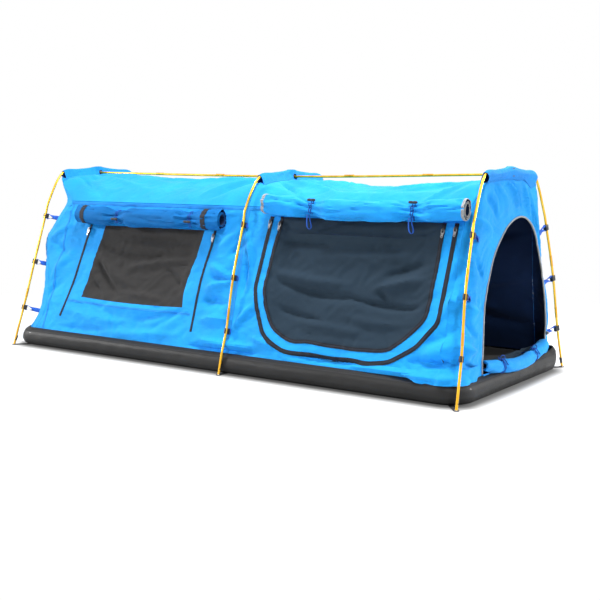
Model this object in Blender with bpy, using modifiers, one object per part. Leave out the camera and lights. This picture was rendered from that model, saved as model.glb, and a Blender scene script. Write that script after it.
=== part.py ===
"""A free-standing swag tent for one sleeper: a PVC tub with a foam mattress, a canvas
canopy hung from three hoops and a ridge pole, a mesh window, a side door and an open head end.
Metres, +Z up, +X towards the head end, the side with the door faces -Y."""

import math

import bmesh
import bpy
from mathutils import Matrix, Vector

# Tub
TUB_LENGTH = 2.15
TUB_WIDTH = 0.90
TUB_HEIGHT = 0.075
TUB_SKIN = 0.002
TUB_CORNER_RADIUS = 0.10
TUB_RIM_TUCK = 0.0265
TUB_FLOOR_TUCK = 0.030
TAB_WIDTH = 0.019
TAB_SKIN = 0.0016
TAB_LIFT = 0.0002
TAB_LAP = 0.020
# How far each ring of the side lies in from the widest line, as a share of the
# rim's tuck, and how high, as a share of the tub's height
TUB_SIDE_SHARES = ((0.45, 0.08), (0.08, 0.26), (0.0, 0.5), (0.19, 0.74), (0.62, 0.92))

# Mattress
MATTRESS_END_CLEARANCE = 0.0315
MATTRESS_SIDE_CLEARANCE = 0.0165
MATTRESS_HEIGHT = 0.058
MATTRESS_CROWN = 0.006
MATTRESS_EDGE = 0.012
MATTRESS_PULL_IN = 0.007
# Rings of the mattress from its base up: how far in from the widest, in edges, the height
# as a share of its side, and how far its sides are drawn in, as a share of the pull
MATTRESS_RING_SHARES = ((1.0, 0.0, 0.3), (0.25, 0.145, 0.6), (0.0, 0.5, 1.0),
                        (0.25, 0.855, 0.6), (1.0, 1.0, 0.3))
MATTRESS_CROWN_EDGES = 8

# Fabric
CANVAS = 0.0012
MESH_SKIN = 0.0008
GAP = 0.0003
SEAM_GAP = 0.0005

# Canopy
WALL_LEAN = math.radians(14.5)
WALL_HEIGHT = 0.565
WALL_LAP = 0.014
# Heights up the wall's slope, as shares of it, and there: how far each end wall is set
# back from the tub's rim, and the radius of the canopy's upright corners
WALL_SHARES = (0.0, 0.053, 0.165, 0.465, 0.685, 0.850, 1.0)
FOOT_SET_BACKS = (0.0, 0.020, 0.046, 0.046, 0.034, 0.061, 0.091)
FOOT_CORNER_RADII = (0.074, 0.073, 0.066, 0.050, 0.030, 0.055, 0.080)
HEAD_SET_BACKS = (0.0, 0.001, 0.002, 0.006, 0.009, 0.011, 0.0134)
HEAD_CORNER_RADII = (0.074, 0.073, 0.070, 0.060, 0.050, 0.044, 0.042)
FOOT_CROWN_SET_BACK = 0.026
HEAD_CROWN_SET_BACK = 0.016
FAR_WALL_FOLD = 0.006
FAR_WALL_WAVES = 4
END_WALL_FOLD = 0.007
FOOT_WALL_WAVES = 3
HEAD_WALL_WAVES = 7
FOLD_FREE_HEIGHT = 0.060
# An end wall's rows, as shares of the way from its inner line or doorway to its edge, and
# half the length of the foot wall's inner line, as a share of the wall's half span
FOOT_WALL_ROW_SHARES = (0.0, 0.3, 0.6, 0.8, 0.9, 0.96, 0.99, 1.0)
HEAD_WALL_ROW_SHARES = (0.0, 0.25, 0.5, 0.72, 0.86, 0.94, 0.985, 1.0)
FOOT_WALL_CORE_SHARE = 0.3
ROOF_DROP = 0.025
ROOF_EDGE = 0.012

# Hoops and ridge pole
POLE_RADIUS = 0.0045
CROWN_HEIGHT = 0.757
MIDDLE_DROP = 0.009
HEAD_RISE = 0.007
SHOULDER_TUCK = 0.059
SHOULDER_DROP = 0.0193
HAUNCH_SPAN_SHARE = 0.55
HAUNCH_RISE_SHARE = 0.78
FOOT_HOOP_INSET = 0.0225
HEAD_HOOP_INSET = 0.010
MIDDLE_HOOP_X = 0.086
FOOT_HOOP_LEAN = 0.0505
HEAD_HOOP_LEAN = 0.040
RIDGE_BELOW_CROWN = 0.0125
# Heights up the wall where the hoop legs are set, and how far they stand off it there
LEG_STATIONS = (0.0, 0.100, 0.300, 0.490)
FOOT_LEG_STANDOFFS = (0.029, 0.0265, 0.021, 0.017, 0.012, 0.010)
HEAD_LEG_STANDOFFS = (0.029, 0.0275, 0.026, 0.040, 0.028, 0.018)
MIDDLE_LEG_STANDOFFS = (0.025, 0.0255, 0.020, 0.029, 0.019, 0.018)

# Hubs
HUB_HALF_X = 0.012
HUB_HALF_Y = 0.013
HUB_ABOVE = 0.0100
HUB_BELOW = 0.0080
HUB_ROUND = 0.003
HUB_BALL_RADIUS = 0.0105

# Sleeves
SLEEVE_SPAN_SHARE = 0.76
SLEEVE_HALF_WIDTH = 0.022
SLEEVE_FLANGE = 0.008
SLEEVE_CROWN_WIDTH = 0.0085
SLEEVE_SLACK = 0.0030
SLEEVE_LIFT = 0.0021
SLEEVE_NOTCH = 0.021
# Where a sleeve's side bends over towards the pole: shares of the way in and up, then the
# shares of its rise beside the pole and over it
SLEEVE_BEND_IN_SHARE = 0.60
SLEEVE_BEND_UP_SHARE = 0.40
SLEEVE_SHOULDER_SHARE = 0.82
SLEEVE_TOP_SHARE = 0.98

# Pole clips
CLIP_LENGTH = 0.020
CLIP_SLACK = 0.00042
CLIP_WALL = 0.003
CLIP_LUG = 0.0060
CLIP_SLOT = 0.0022
CLIP_MOUTH = math.radians(55)
CLIP_STATIONS = (0.088, 0.292, 0.495)

# Window, in the foot-end bay of the near wall
WINDOW_SILL = 0.155
WINDOW_HEAD_BELOW_SEAM = 0.100
WINDOW_FOOT_SHARES = (0.258, 0.771)
WINDOW_HEAD_SHARES = (0.321, 0.818)
WINDOW_ZIP_FOOT = 0.065
WINDOW_ZIP_FOOT_SHARES = (0.160, 0.838)
WINDOW_ZIP_HEAD_SHARES = (0.248, 0.869)
WINDOW_ROLL_BELOW_SEAM = 0.060
WINDOW_ROLL_SAG = 0.008
WINDOW_ROLL_SHARES = (0.199, 0.913)
WINDOW_TIE_SHARES = (0.295, 0.80)

# Door, in the head-end bay of the near wall
DOOR_HEAD_BELOW_SEAM = 0.035
DOOR_SILL = 0.030
DOOR_HEAD_SHARES = (0.127, 0.936)
DOOR_FOOT_SHARES = (0.068, 0.905)
DOOR_CORNER_RADII = (0.235, 0.250)
DOOR_BORDER = 0.045
DOOR_ROLL_ABOVE_SEAM = 0.006
DOOR_ROLL_SAG = 0.015
DOOR_ROLL_SHARES = (0.102, 0.984)
DOOR_TIE_SHARES = (0.26, 0.76)

# Rolled covers
ROLL_HALF_HEIGHT = 0.037
ROLL_HALF_DEPTH = 0.030
ROLL_WALL = 0.006
ROLL_BORE = 0.035
ROLL_PINCH_SHARE = 0.82
ROLL_PINCH_REACH = 0.075
ROLL_PINCH_FLAT = 0.024
# Where the slack rings between a roll's two ties lie, as shares of the way
ROLL_SLACK_SHARES = (0.3, 0.5, 0.7)

# Zips, their sliders and pulls
ZIP_WIDTH = 0.014
ZIP_HEIGHT = 0.002
SLIDER_LENGTH = 0.014
SLIDER_WIDTH = 0.008
SLIDER_HEIGHT = 0.004
BAIL_LENGTH = 0.009
BAIL_HOLE = 0.0050
BAIL_HOLE_HEIGHT = 0.0030
BAIL_SKIN = 0.0013
PULL_LENGTH = 0.030
PULL_WIDTH = 0.0125
PULL_SKIN = 0.0015
PULL_WINDOW = 0.011
PULL_EYE_RADIUS = 0.0022
SLIDER_BELOW_ZIP_TOP = 0.018

# Toggles
TOGGLE_LENGTH = 0.034
TOGGLE_RADIUS = 0.0050
TOGGLE_WAIST = 0.0036
# A toggle's outline, from its middle out: shares of its half length and of its radius
TOGGLE_PROFILE_SHARES = ((0.2, 1.0), (0.6, 1.0), (0.85, 0.9), (1.0, 0.5))

# Head-end doorway
ARCH_HEIGHT = 0.545
ARCH_FOOT_HALF_WIDTH = 0.285
ARCH_OFFSET = 0.045
ARCH_TOP_LEAN = 0.040
# Half widths of the arch as shares of its foot, its heights as shares of the arch's, and
# how far its middle has leaned there, as shares of the top's lean
ARCH_WIDTH_SHARES = (1.0, 0.99, 0.98, 0.95, 0.87, 0.74, 0.54, 0.30, 0.0)
ARCH_HEIGHT_SHARES = (0.0, 0.14, 0.30, 0.44, 0.58, 0.74, 0.87, 0.965, 1.0)
ARCH_LEAN_SHARES = (0.0, 0.0, 0.0, 0.0, 0.0, 0.1, 0.4, 0.7, 1.0)
PIPING_RADIUS = 0.0032
HEAD_ROLL_RADIUS = 0.0255
HEAD_ROLL_NEAR_END = 0.210
HEAD_ROLL_FAR_END = 0.300
HEAD_ROLL_RISE = 0.014
MESH_ROLL_RADIUS = 0.016
MESH_ROLL_NEAR_END = 0.160
MESH_ROLL_FAR_END = 0.280
SOFT_END_SHARE = 0.86
HEAD_ROLL_CURL = 6
# Where the rings of these rolls lie, as shares of their length
ROLL_SHARES = (0.0, 0.08, 0.2, 0.35, 0.5, 0.65, 0.8, 0.92, 1.0)

# Section of the roof from the ridge to the seam: shares of its half span, and the
# shares of its rise there, at a hoop and in the middle of the foot and head bays
ROOF_SPAN_SHARES = (0.0, 0.2, 0.4, 0.58, 0.69, 0.76, 0.86, 0.93, 1.0)
ROOF_HOOP_SHARES = (1.0, 0.998, 0.985, 0.945, 0.905, 0.855, 0.62, 0.36, 0.0)
ROOF_FOOT_BAY_SHARES = (0.92, 0.88, 0.77, 0.60, 0.48, 0.40, 0.25, 0.13, 0.0)
ROOF_HEAD_BAY_SHARES = (0.73, 0.72, 0.65, 0.54, 0.44, 0.37, 0.23, 0.12, 0.0)
ROOF_BAY_SHARES = (0.08, 0.18, 0.32, 0.50, 0.68, 0.82, 0.92)
ROOF_TENSION = 1.5

# Facets
ARC_STEPS = 6
POLE_STEPS = 3
ROLL_SIDES = 14
PEG_SIDES = 10
EYE_SIDES = 8
BORE_SIDES = 20
BALL_SIDES = 14
BALL_RINGS = 8
FAR_WALL_STEPS = 18
SIDE_POINT_SHARES = (0.25, 0.5, 0.75)
SHARP_ANGLE = math.radians(35)
SAME_PLACE = 1e-6
CUT_OVERRUN = 0.010

HOOPS = ("foot", "middle", "head")


# Scene and materials


def clear_scene():
    for item in list(bpy.data.objects):
        bpy.data.objects.remove(item, do_unlink=True)
    for name in ("swag_tent", "cutters"):
        group = bpy.data.collections.new(name)
        bpy.context.scene.collection.children.link(group)
    bpy.data.collections["cutters"].hide_render = True


def material(name, colour, roughness, metallic=0.0):
    found = bpy.data.materials.get(name)
    if found:
        return found
    made = bpy.data.materials.new(name)
    made.use_nodes = True
    shader = made.node_tree.nodes["Principled BSDF"]
    shader.inputs["Base Color"].default_value = (*colour, 1.0)
    shader.inputs["Roughness"].default_value = roughness
    shader.inputs["Metallic"].default_value = metallic
    return made


def canvas_material():
    return material("azure_canvas", (0.022, 0.300, 0.860), 0.75)


def pvc_material():
    return material("charcoal_pvc", (0.070, 0.070, 0.072), 0.55)


def mesh_material():
    return material("insect_mesh", (0.035, 0.042, 0.052), 0.90)


def pole_material():
    return material("gold_aluminium", (0.95, 0.56, 0.04), 0.28, 1.0)


def plastic_material():
    return material("black_plastic", (0.015, 0.015, 0.017), 0.45)


def zip_material():
    return material("navy_zip", (0.020, 0.024, 0.055), 0.60)


def metal_material():
    return material("silver_zinc", (0.62, 0.62, 0.64), 0.30, 1.0)


def cover_material():
    return material("mattress_cover", (0.060, 0.065, 0.075), 0.85)


def binding_material():
    return material("grey_binding", (0.42, 0.44, 0.46), 0.70)


# Objects


def add_object(name, data, paint, matrix=None):
    made = bpy.data.objects.new(name, data)
    bpy.data.collections["swag_tent"].objects.link(made)
    if not data.materials:
        data.materials.append(paint)
    if matrix is not None:
        made.matrix_world = matrix
    return made


def make_cutter(item):
    for group in list(item.users_collection):
        group.objects.unlink(item)
    bpy.data.collections["cutters"].objects.link(item)
    item.hide_render = True
    item.display_type = "WIRE"


def boolean(item, cutter, operation):
    made = item.modifiers.new(operation.lower(), "BOOLEAN")
    made.operation = operation
    made.object = cutter
    made.solver = "EXACT"


def solidify(item, thickness, offset=0.0):
    made = item.modifiers.new("skin", "SOLIDIFY")
    made.thickness = thickness
    made.offset = offset
    made.use_even_offset = True


def smooth_shading(mesh):
    mesh.shade_smooth()
    mesh.set_sharp_from_angle(angle=SHARP_ANGLE)


def mesh_from(name, build):
    """A mesh whose geometry build() adds to a bmesh."""
    shape = bmesh.new()
    build(shape)
    bmesh.ops.recalc_face_normals(shape, faces=shape.faces)
    made = bpy.data.meshes.new(name)
    shape.to_mesh(made)
    shape.free()
    smooth_shading(made)
    return made


def grid_mesh(name, rows):
    """An open sheet through rows of points."""

    def build(shape):
        knots = [[shape.verts.new(point) for point in row] for row in rows]
        for low, high in zip(knots, knots[1:]):
            for i in range(len(low) - 1):
                shape.faces.new((low[i], low[i + 1], high[i + 1], high[i]))

    return mesh_from(name, build)


def ring_mesh(name, rings, closed_start=True, closed_end=True):
    """A skin through closed rings of points, with flat ends where asked."""

    def build(shape):
        knots = [[shape.verts.new(point) for point in ring] for ring in rings]
        count = len(knots[0])
        for low, high in zip(knots, knots[1:]):
            for i in range(count):
                j = (i + 1) % count
                shape.faces.new((low[i], low[j], high[j], high[i]))
        if closed_start:
            shape.faces.new(knots[0][::-1])
        if closed_end:
            shape.faces.new(knots[-1])

    return mesh_from(name, build)


def flat_curve(name, outlines, thickness):
    """A plate with the given outlines, holes among them, centred on its own plane."""
    made = bpy.data.curves.new(name, "CURVE")
    made.dimensions = "2D"
    made.fill_mode = "BOTH"
    made.extrude = thickness / 2
    for outline in outlines:
        spline = made.splines.new("POLY")
        spline.points.add(len(outline) - 1)
        for knot, (x, y) in zip(spline.points, outline):
            knot.co = (x, y, 0.0, 1.0)
        spline.use_cyclic_u = True
    return made


def rod_curve(name, points, radius, resolution=2):
    made = bpy.data.curves.new(name, "CURVE")
    made.dimensions = "3D"
    made.bevel_depth = radius
    made.bevel_resolution = resolution
    made.use_fill_caps = True
    spline = made.splines.new("POLY")
    spline.points.add(len(points) - 1)
    for knot, point in zip(spline.points, points):
        knot.co = (*point, 1.0)
    return made


def frame_matrix(origin, x_axis, z_axis):
    """A place whose Z is z_axis and whose X leans as near to x_axis as it can."""
    z = Vector(z_axis).normalized()
    x = Vector(x_axis)
    x = (x - z * x.dot(z)).normalized()
    y = z.cross(x)
    turned = Matrix((x, y, z)).transposed().to_4x4()
    return Matrix.Translation(origin) @ turned


def cylinder_cutter(name, start, end, radius):
    start, end = Vector(start), Vector(end)
    mesh = bpy.data.meshes.new(name)
    shape = bmesh.new()
    bmesh.ops.create_cone(
        shape, cap_ends=True, segments=BORE_SIDES, radius1=radius, radius2=radius,
        depth=(end - start).length)
    shape.to_mesh(mesh)
    shape.free()
    place = frame_matrix((start + end) / 2, (0, 0, 1), end - start)
    made = add_object(name, mesh, plastic_material(), place)
    make_cutter(made)
    return made


def box_object(name, low, high, paint):
    low, high = Vector(low), Vector(high)
    mesh = bpy.data.meshes.new(name)
    shape = bmesh.new()
    bmesh.ops.create_cube(shape, size=1.0)
    bmesh.ops.scale(shape, vec=high - low, verts=shape.verts)
    shape.to_mesh(mesh)
    shape.free()
    return add_object(name, mesh, paint, Matrix.Translation((low + high) / 2))


# Curves worked out from points


def smooth_path(points, steps):
    """Points along a smooth curve through the given ones."""
    points = [Vector(point) for point in points]
    padded = [2 * points[0] - points[1], *points, 2 * points[-1] - points[-2]]
    path = []
    for p0, p1, p2, p3 in zip(padded, padded[1:], padded[2:], padded[3:]):
        for step in range(steps):
            t = step / steps
            path.append(0.5 * (2 * p1 + (p2 - p0) * t + (2 * p0 - 5 * p1 + 4 * p2 - p3) * t * t
                               + (3 * p1 - p0 - 3 * p2 + p3) * t ** 3))
    return [*path, points[-1]]


def rounded_corner(before, corner, after, radius, steps):
    """Points of the arc that rounds one corner of a flat outline."""
    corner = Vector(corner)
    back = (Vector(before) - corner).normalized()
    on = (Vector(after) - corner).normalized()
    half = back.angle(on) / 2
    start = corner + back * (radius / math.tan(half))
    end = corner + on * (radius / math.tan(half))
    centre = corner + (back + on).normalized() * (radius / math.sin(half))
    first = start - centre
    turn = first.angle_signed(end - centre)
    return [centre + Matrix.Rotation(-turn * i / steps, 2) @ first for i in range(steps + 1)]


def rounded_rectangle(half_x, half_y, radius, height, pull_in=0.0):
    """A level ring of points, whose sides may be drawn in between the corners."""
    ring = []
    for quarter, (sx, sy) in enumerate(((1, 1), (-1, 1), (-1, -1), (1, -1))):
        centre = Vector((sx * (half_x - radius), sy * (half_y - radius)))
        for i in range(ARC_STEPS + 1):
            angle = (quarter + i / ARC_STEPS) * math.pi / 2
            ring.append(centre + radius * Vector((math.cos(angle), math.sin(angle))))
        along, inward, half = Vector((-sx, 0)), Vector((0, -sy)), half_x
        if quarter % 2:
            along, inward, half = Vector((0, -sy)), Vector((-sx, 0)), half_y
        corner_end = ring[-1]
        for share in SIDE_POINT_SHARES:
            drawn_in = pull_in * math.sin(math.pi * share)
            ring.append(corner_end + along * (2 * (half - radius) * share) + inward * drawn_in)
    return [Vector((x, y, height)) for x, y in ring]


def between(low, high, share):
    return low + (high - low) * share


def table_value(shares, values, share):
    """The value at a share, straight between the table's entries and level past its ends."""
    for (s0, v0), (s1, v1) in zip(zip(shares, values), zip(shares[1:], values[1:])):
        if share <= s1:
            return between(v0, v1, max(0.0, (share - s0) / (s1 - s0)))
    return values[-1]


# The near and far wall's plane, and the places set out on it

WALL_FOOT_HALF_SPAN = TUB_WIDTH / 2 - TUB_RIM_TUCK - TUB_SKIN - SEAM_GAP - CANVAS / 2
SEAM_HALF_SPAN = WALL_FOOT_HALF_SPAN - WALL_HEIGHT * math.sin(WALL_LEAN)
SEAM_HEIGHT = TUB_HEIGHT + WALL_HEIGHT * math.cos(WALL_LEAN)
END_WALL_X = TUB_LENGTH / 2 - TUB_RIM_TUCK - TUB_SKIN - SEAM_GAP - CANVAS / 2
ROOF_CROWN_HEIGHT = CROWN_HEIGHT - ROOF_DROP
SHOULDER_INDEX = ROOF_SPAN_SHARES.index(SLEEVE_SPAN_SHARE)


def wall_half_span(height):
    return WALL_FOOT_HALF_SPAN - (height - TUB_HEIGHT) * math.tan(WALL_LEAN)


def wall_height(slope):
    return TUB_HEIGHT + slope * math.cos(WALL_LEAN)


def wall_matrix(x=0.0, slope=0.0, out=0.0, side=-1):
    """The place at x and a height up the slope, its Z facing out of the canopy."""
    out_axis = Vector((0.0, side * math.cos(WALL_LEAN), math.sin(WALL_LEAN)))
    up_axis = Vector((0.0, -side * math.sin(WALL_LEAN), math.cos(WALL_LEAN)))
    foot = Vector((x, side * WALL_FOOT_HALF_SPAN, TUB_HEIGHT))
    x_axis = up_axis.cross(out_axis)
    turned = Matrix((x_axis, up_axis, out_axis)).transposed().to_4x4()
    return Matrix.Translation(foot + up_axis * slope + out_axis * out) @ turned


# Hoops


def hoop_crown_height(hoop):
    return CROWN_HEIGHT + {"foot": 0.0, "middle": -MIDDLE_DROP, "head": HEAD_RISE}[hoop]


def hoop_x(hoop, height):
    """A hoop's place along the tent; the end hoops lean towards the middle."""
    share = height / CROWN_HEIGHT
    if hoop == "foot":
        return -TUB_LENGTH / 2 + FOOT_HOOP_INSET + FOOT_HOOP_LEAN * share
    if hoop == "head":
        return TUB_LENGTH / 2 - HEAD_HOOP_INSET - HEAD_HOOP_LEAN * share
    return MIDDLE_HOOP_X


def hoop_crown_x(hoop):
    return hoop_x(hoop, hoop_crown_height(hoop))


def hoop_half_path(hoop):
    """(half span, height) from the foot to the crown."""
    crown = hoop_crown_height(hoop)
    standoffs = {"foot": FOOT_LEG_STANDOFFS, "middle": MIDDLE_LEG_STANDOFFS,
                 "head": HEAD_LEG_STANDOFFS}[hoop]
    heights = [0.0, *[wall_height(slope) for slope in (*LEG_STATIONS, WALL_HEIGHT)]]
    leg = [Vector((wall_half_span(z) + off, z)) for z, off in zip(heights, standoffs)]
    shoulder = Vector((SEAM_HALF_SPAN - SHOULDER_TUCK, crown - SHOULDER_DROP))
    haunch = Vector((shoulder.x * HAUNCH_SPAN_SHARE, between(shoulder.y, crown, HAUNCH_RISE_SHARE)))
    top = Vector((0.0, crown))
    full = [*leg, shoulder, haunch, top]
    mirrored = [Vector((-point.x, point.y)) for point in full[-2::-1]]
    path = smooth_path([*full, *mirrored], POLE_STEPS)
    return path[: (len(path) + 1) // 2]


def hoop_point(hoop, side, height):
    """A point on a leg's axis and the leg's upward direction there."""
    path = hoop_half_path(hoop)
    for low, high in zip(path, path[1:]):
        if low.y <= height <= high.y:
            share = (height - low.y) / (high.y - low.y)
            place = between(low, high, share)
            ends = [Vector((hoop_x(hoop, p.y), side * p.x, p.y)) for p in (low, high)]
            point = Vector((hoop_x(hoop, place.y), side * place.x, place.y))
            return point, (ends[1] - ends[0]).normalized()


def crown_line(hoop, y):
    """The height of a hoop's axis over the roof at y."""
    path = hoop_half_path(hoop)
    for low, high in zip(path, path[1:]):
        if high.x <= abs(y) <= low.x and low.y > SEAM_HEIGHT:
            return between(low.y, high.y, (low.x - abs(y)) / (low.x - high.x))
    return path[-1].y


def make_hoops():
    for hoop in HOOPS:
        half = hoop_half_path(hoop)
        near = [Vector((hoop_x(hoop, p.y), -p.x, p.y)) for p in half]
        far = [Vector((hoop_x(hoop, p.y), p.x, p.y)) for p in half[-2::-1]]
        foot_near, foot_far = near[0].copy(), far[-1].copy()
        near[0].z = far[-1].z = POLE_RADIUS
        points = [foot_near, *near, *far, foot_far]
        add_object(f"hoop_pole_{hoop}", rod_curve(f"hoop_pole_{hoop}", points, POLE_RADIUS),
                   pole_material())


def ridge_height(hoop):
    return hoop_crown_height(hoop) - RIDGE_BELOW_CROWN


def make_ridge_pole():
    points = []
    for hoop, inset in zip(HOOPS, (-1, 0, 1)):
        x = hoop_crown_x(hoop) - inset * POLE_RADIUS
        points.append(Vector((x, 0.0, ridge_height(hoop))))
    add_object("ridge_pole", rod_curve("ridge_pole", points, POLE_RADIUS, 3), pole_material())


def make_hub(hoop, inward):
    """A block bored across for the hoop and along for the ridge pole; inward is the
    side that the ridge pole leaves on, or 0 where it passes right through."""
    x, crown, ridge = hoop_crown_x(hoop), hoop_crown_height(hoop), ridge_height(hoop)
    hub = box_object(
        f"hub_{hoop}", (x - HUB_HALF_X, -HUB_HALF_Y, ridge - HUB_BELOW),
        (x + HUB_HALF_X, HUB_HALF_Y, crown + HUB_ABOVE), plastic_material())
    rounding = hub.modifiers.new("rounding", "BEVEL")
    rounding.width = HUB_ROUND
    rounding.segments = 2
    if inward:
        ball_mesh = bpy.data.meshes.new(f"ball_{hoop}")
        shape = bmesh.new()
        bmesh.ops.create_uvsphere(shape, u_segments=BALL_SIDES, v_segments=BALL_RINGS,
                                  radius=HUB_BALL_RADIUS)
        shape.to_mesh(ball_mesh)
        shape.free()
        centre = (x + inward * HUB_HALF_X, 0.0, ridge)
        ball = add_object(f"ball_{hoop}", ball_mesh, plastic_material(),
                          Matrix.Translation(centre))
        make_cutter(ball)
        boolean(hub, ball, "UNION")
    reach = HUB_HALF_Y + CUT_OVERRUN
    across = cylinder_cutter(f"hoop_bore_{hoop}", (x, -reach, crown), (x, reach, crown),
                             POLE_RADIUS + GAP)
    boolean(hub, across, "DIFFERENCE")
    reach = HUB_HALF_X + HUB_BALL_RADIUS + CUT_OVERRUN
    start = x - (reach if not inward else inward * (POLE_RADIUS + GAP))
    along = cylinder_cutter(f"ridge_bore_{hoop}", (start, 0.0, ridge),
                            (x + (inward or 1) * reach, 0.0, ridge), POLE_RADIUS + GAP)
    boolean(hub, along, "DIFFERENCE")


# Tub and mattress


def tub_ring(inset, height):
    return rounded_rectangle(TUB_LENGTH / 2 - inset, TUB_WIDTH / 2 - inset,
                             TUB_CORNER_RADIUS - inset, height)


def make_tub():
    rings = [tub_ring(TUB_FLOOR_TUCK, 0.0)]
    for tuck, rise in TUB_SIDE_SHARES:
        rings.append(tub_ring(tuck * TUB_RIM_TUCK, rise * TUB_HEIGHT))
    rings.append(tub_ring(TUB_RIM_TUCK, TUB_HEIGHT))
    skin = ring_mesh("tub_base", rings, closed_end=False)
    tub = add_object("tub_base", skin, pvc_material())
    solidify(tub, TUB_SKIN, -1.0)
    for hoop in HOOPS:
        for side in (-1, 1):
            boolean(tub, make_foot_tab(hoop, side), "UNION")


def make_foot_tab(hoop, side):
    """A webbing tab from under the tub's edge to a hoop's foot, with the foot's eyelet."""
    foot = Vector((hoop_x(hoop, 0.0), side * hoop_half_path(hoop)[0].x))
    inset = TUB_FLOOR_TUCK + TUB_CORNER_RADIUS
    limit = TUB_LENGTH / 2 - inset
    anchor = Vector((max(-limit, min(limit, foot.x)), side * (TUB_WIDTH / 2 - inset)))
    start = anchor + (foot - anchor).normalized() * (TUB_CORNER_RADIUS - TAB_LAP)
    if hoop == "middle":
        start = Vector((foot.x, side * (TUB_WIDTH / 2 - TUB_FLOOR_TUCK - TAB_LAP)))
    length = (foot - start).length
    half = TAB_WIDTH / 2
    outline = [(0.0, half), (0.0, -half)]
    for i in range(ARC_STEPS + 1):
        angle = (i / ARC_STEPS - 0.5) * math.pi
        outline.append((length + half * math.cos(angle), half * math.sin(angle)))
    eyelet = [((POLE_RADIUS + GAP) * math.cos(i * math.tau / BORE_SIDES) + length,
               (POLE_RADIUS + GAP) * math.sin(i * math.tau / BORE_SIDES))
              for i in range(BORE_SIDES)]
    plate = flat_curve(f"foot_tab_{hoop}_{side}", [outline, eyelet], TAB_SKIN)
    along = (foot - start).to_3d()
    place = frame_matrix(start.to_3d() + Vector((0, 0, TAB_SKIN / 2 + TAB_LIFT)), along,
                         (0, 0, 1))
    tab = add_object(f"foot_tab_{hoop}_{side}", plate, pvc_material(), place)
    return curve_to_cutter(tab)


def curve_to_cutter(item):
    """The same shape as a closed mesh, for a Boolean."""
    bpy.context.view_layer.update()
    graph = bpy.context.evaluated_depsgraph_get()
    mesh = bpy.data.meshes.new_from_object(item.evaluated_get(graph))
    shape = bmesh.new()
    shape.from_mesh(mesh)
    bmesh.ops.remove_doubles(shape, verts=shape.verts, dist=SAME_PLACE)
    bmesh.ops.recalc_face_normals(shape, faces=shape.faces)
    shape.to_mesh(mesh)
    shape.free()
    place, name = item.matrix_world.copy(), item.name
    bpy.data.objects.remove(item, do_unlink=True)
    made = add_object(name, mesh, pvc_material(), place)
    make_cutter(made)
    return made


def make_mattress():
    edge_inset = TUB_RIM_TUCK + TUB_SKIN
    half_x = TUB_LENGTH / 2 - edge_inset - MATTRESS_END_CLEARANCE
    half_y = TUB_WIDTH / 2 - edge_inset - MATTRESS_SIDE_CLEARANCE
    radius = TUB_CORNER_RADIUS - TUB_RIM_TUCK
    base = TUB_SKIN + GAP
    levels = [(MATTRESS_EDGE * edges, base + MATTRESS_HEIGHT * rise, MATTRESS_PULL_IN * pull)
              for edges, rise, pull in MATTRESS_RING_SHARES]
    levels.append((MATTRESS_EDGE * MATTRESS_CROWN_EDGES, base + MATTRESS_HEIGHT + MATTRESS_CROWN,
                   0.0))
    rings = [rounded_rectangle(half_x - inset, half_y - inset, max(radius - inset, radius / 3),
                               height, drawn_in)
             for inset, height, drawn_in in levels]
    add_object("foam_mattress", ring_mesh("foam_mattress", rings), cover_material())


# Canopy


def profile_heights():
    """Heights at which the end walls' set-backs are given: up the walls, then the crown."""
    return [*[wall_height(share * WALL_HEIGHT) for share in WALL_SHARES], ROOF_CROWN_HEIGHT]


def end_wall_x(end, height):
    """An end wall's middle, along the tent."""
    if end == "head":
        backs = (*HEAD_SET_BACKS, HEAD_CROWN_SET_BACK)
        return END_WALL_X - table_value(profile_heights(), backs, height)
    backs = (*FOOT_SET_BACKS, FOOT_CROWN_SET_BACK)
    return -END_WALL_X + table_value(profile_heights(), backs, height)


def corner_radius(end, height):
    """The radius of the canopy's upright corners, which fades out over the shoulder."""
    radii = FOOT_CORNER_RADII if end == "foot" else HEAD_CORNER_RADII
    if height <= SEAM_HEIGHT:
        return table_value(profile_heights(), radii, height)
    shoulder = (ROOF_CROWN_HEIGHT - SEAM_HEIGHT) * ROOF_HOOP_SHARES[SHOULDER_INDEX]
    return radii[-1] * max(0.0, 1 - (height - SEAM_HEIGHT) / shoulder)


def end_half_span(height):
    """Half the canopy's width over a hoop, up the walls and over the shoulder."""
    if height <= SEAM_HEIGHT:
        return wall_half_span(height)
    rise = (height - SEAM_HEIGHT) / (ROOF_CROWN_HEIGHT - SEAM_HEIGHT)
    return SEAM_HALF_SPAN * table_value(ROOF_HOOP_SHARES[::-1], ROOF_SPAN_SHARES[::-1], rise)


def bay(share, index):
    """X at a share of the way along the foot bay (0) or the head bay (1)."""
    low, high = hoop_crown_x(HOOPS[index]), hoop_crown_x(HOOPS[index + 1])
    return between(low, high, share)


def foot_bay(share):
    return bay(share, 0)


def head_bay(share):
    return bay(share, 1)


def roof_crown(x):
    """(height of the roof over a hoop's line, which bay, share along it) at x."""
    xs = [hoop_crown_x(hoop) for hoop in HOOPS]
    tops = [ROOF_CROWN_HEIGHT - (MIDDLE_DROP if hoop == "middle" else 0.0) for hoop in HOOPS]
    index = 0 if x < xs[1] else 1
    share = max(0.0, min(1.0, (x - xs[index]) / (xs[index + 1] - xs[index])))
    return between(tops[index], tops[index + 1], share), index, share


def roof_height(x, y):
    top, index, share = roof_crown(x)
    tension = (1 - math.sin(math.pi * share)) ** ROOF_TENSION
    span = abs(y) / SEAM_HALF_SPAN
    slack_shares = (ROOF_FOOT_BAY_SHARES, ROOF_HEAD_BAY_SHARES)[index]
    tight = table_value(ROOF_SPAN_SHARES, ROOF_HOOP_SHARES, span)
    slack = table_value(ROOF_SPAN_SHARES, slack_shares, span)
    return SEAM_HEIGHT + (top - SEAM_HEIGHT) * between(slack, tight, tension)


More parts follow.
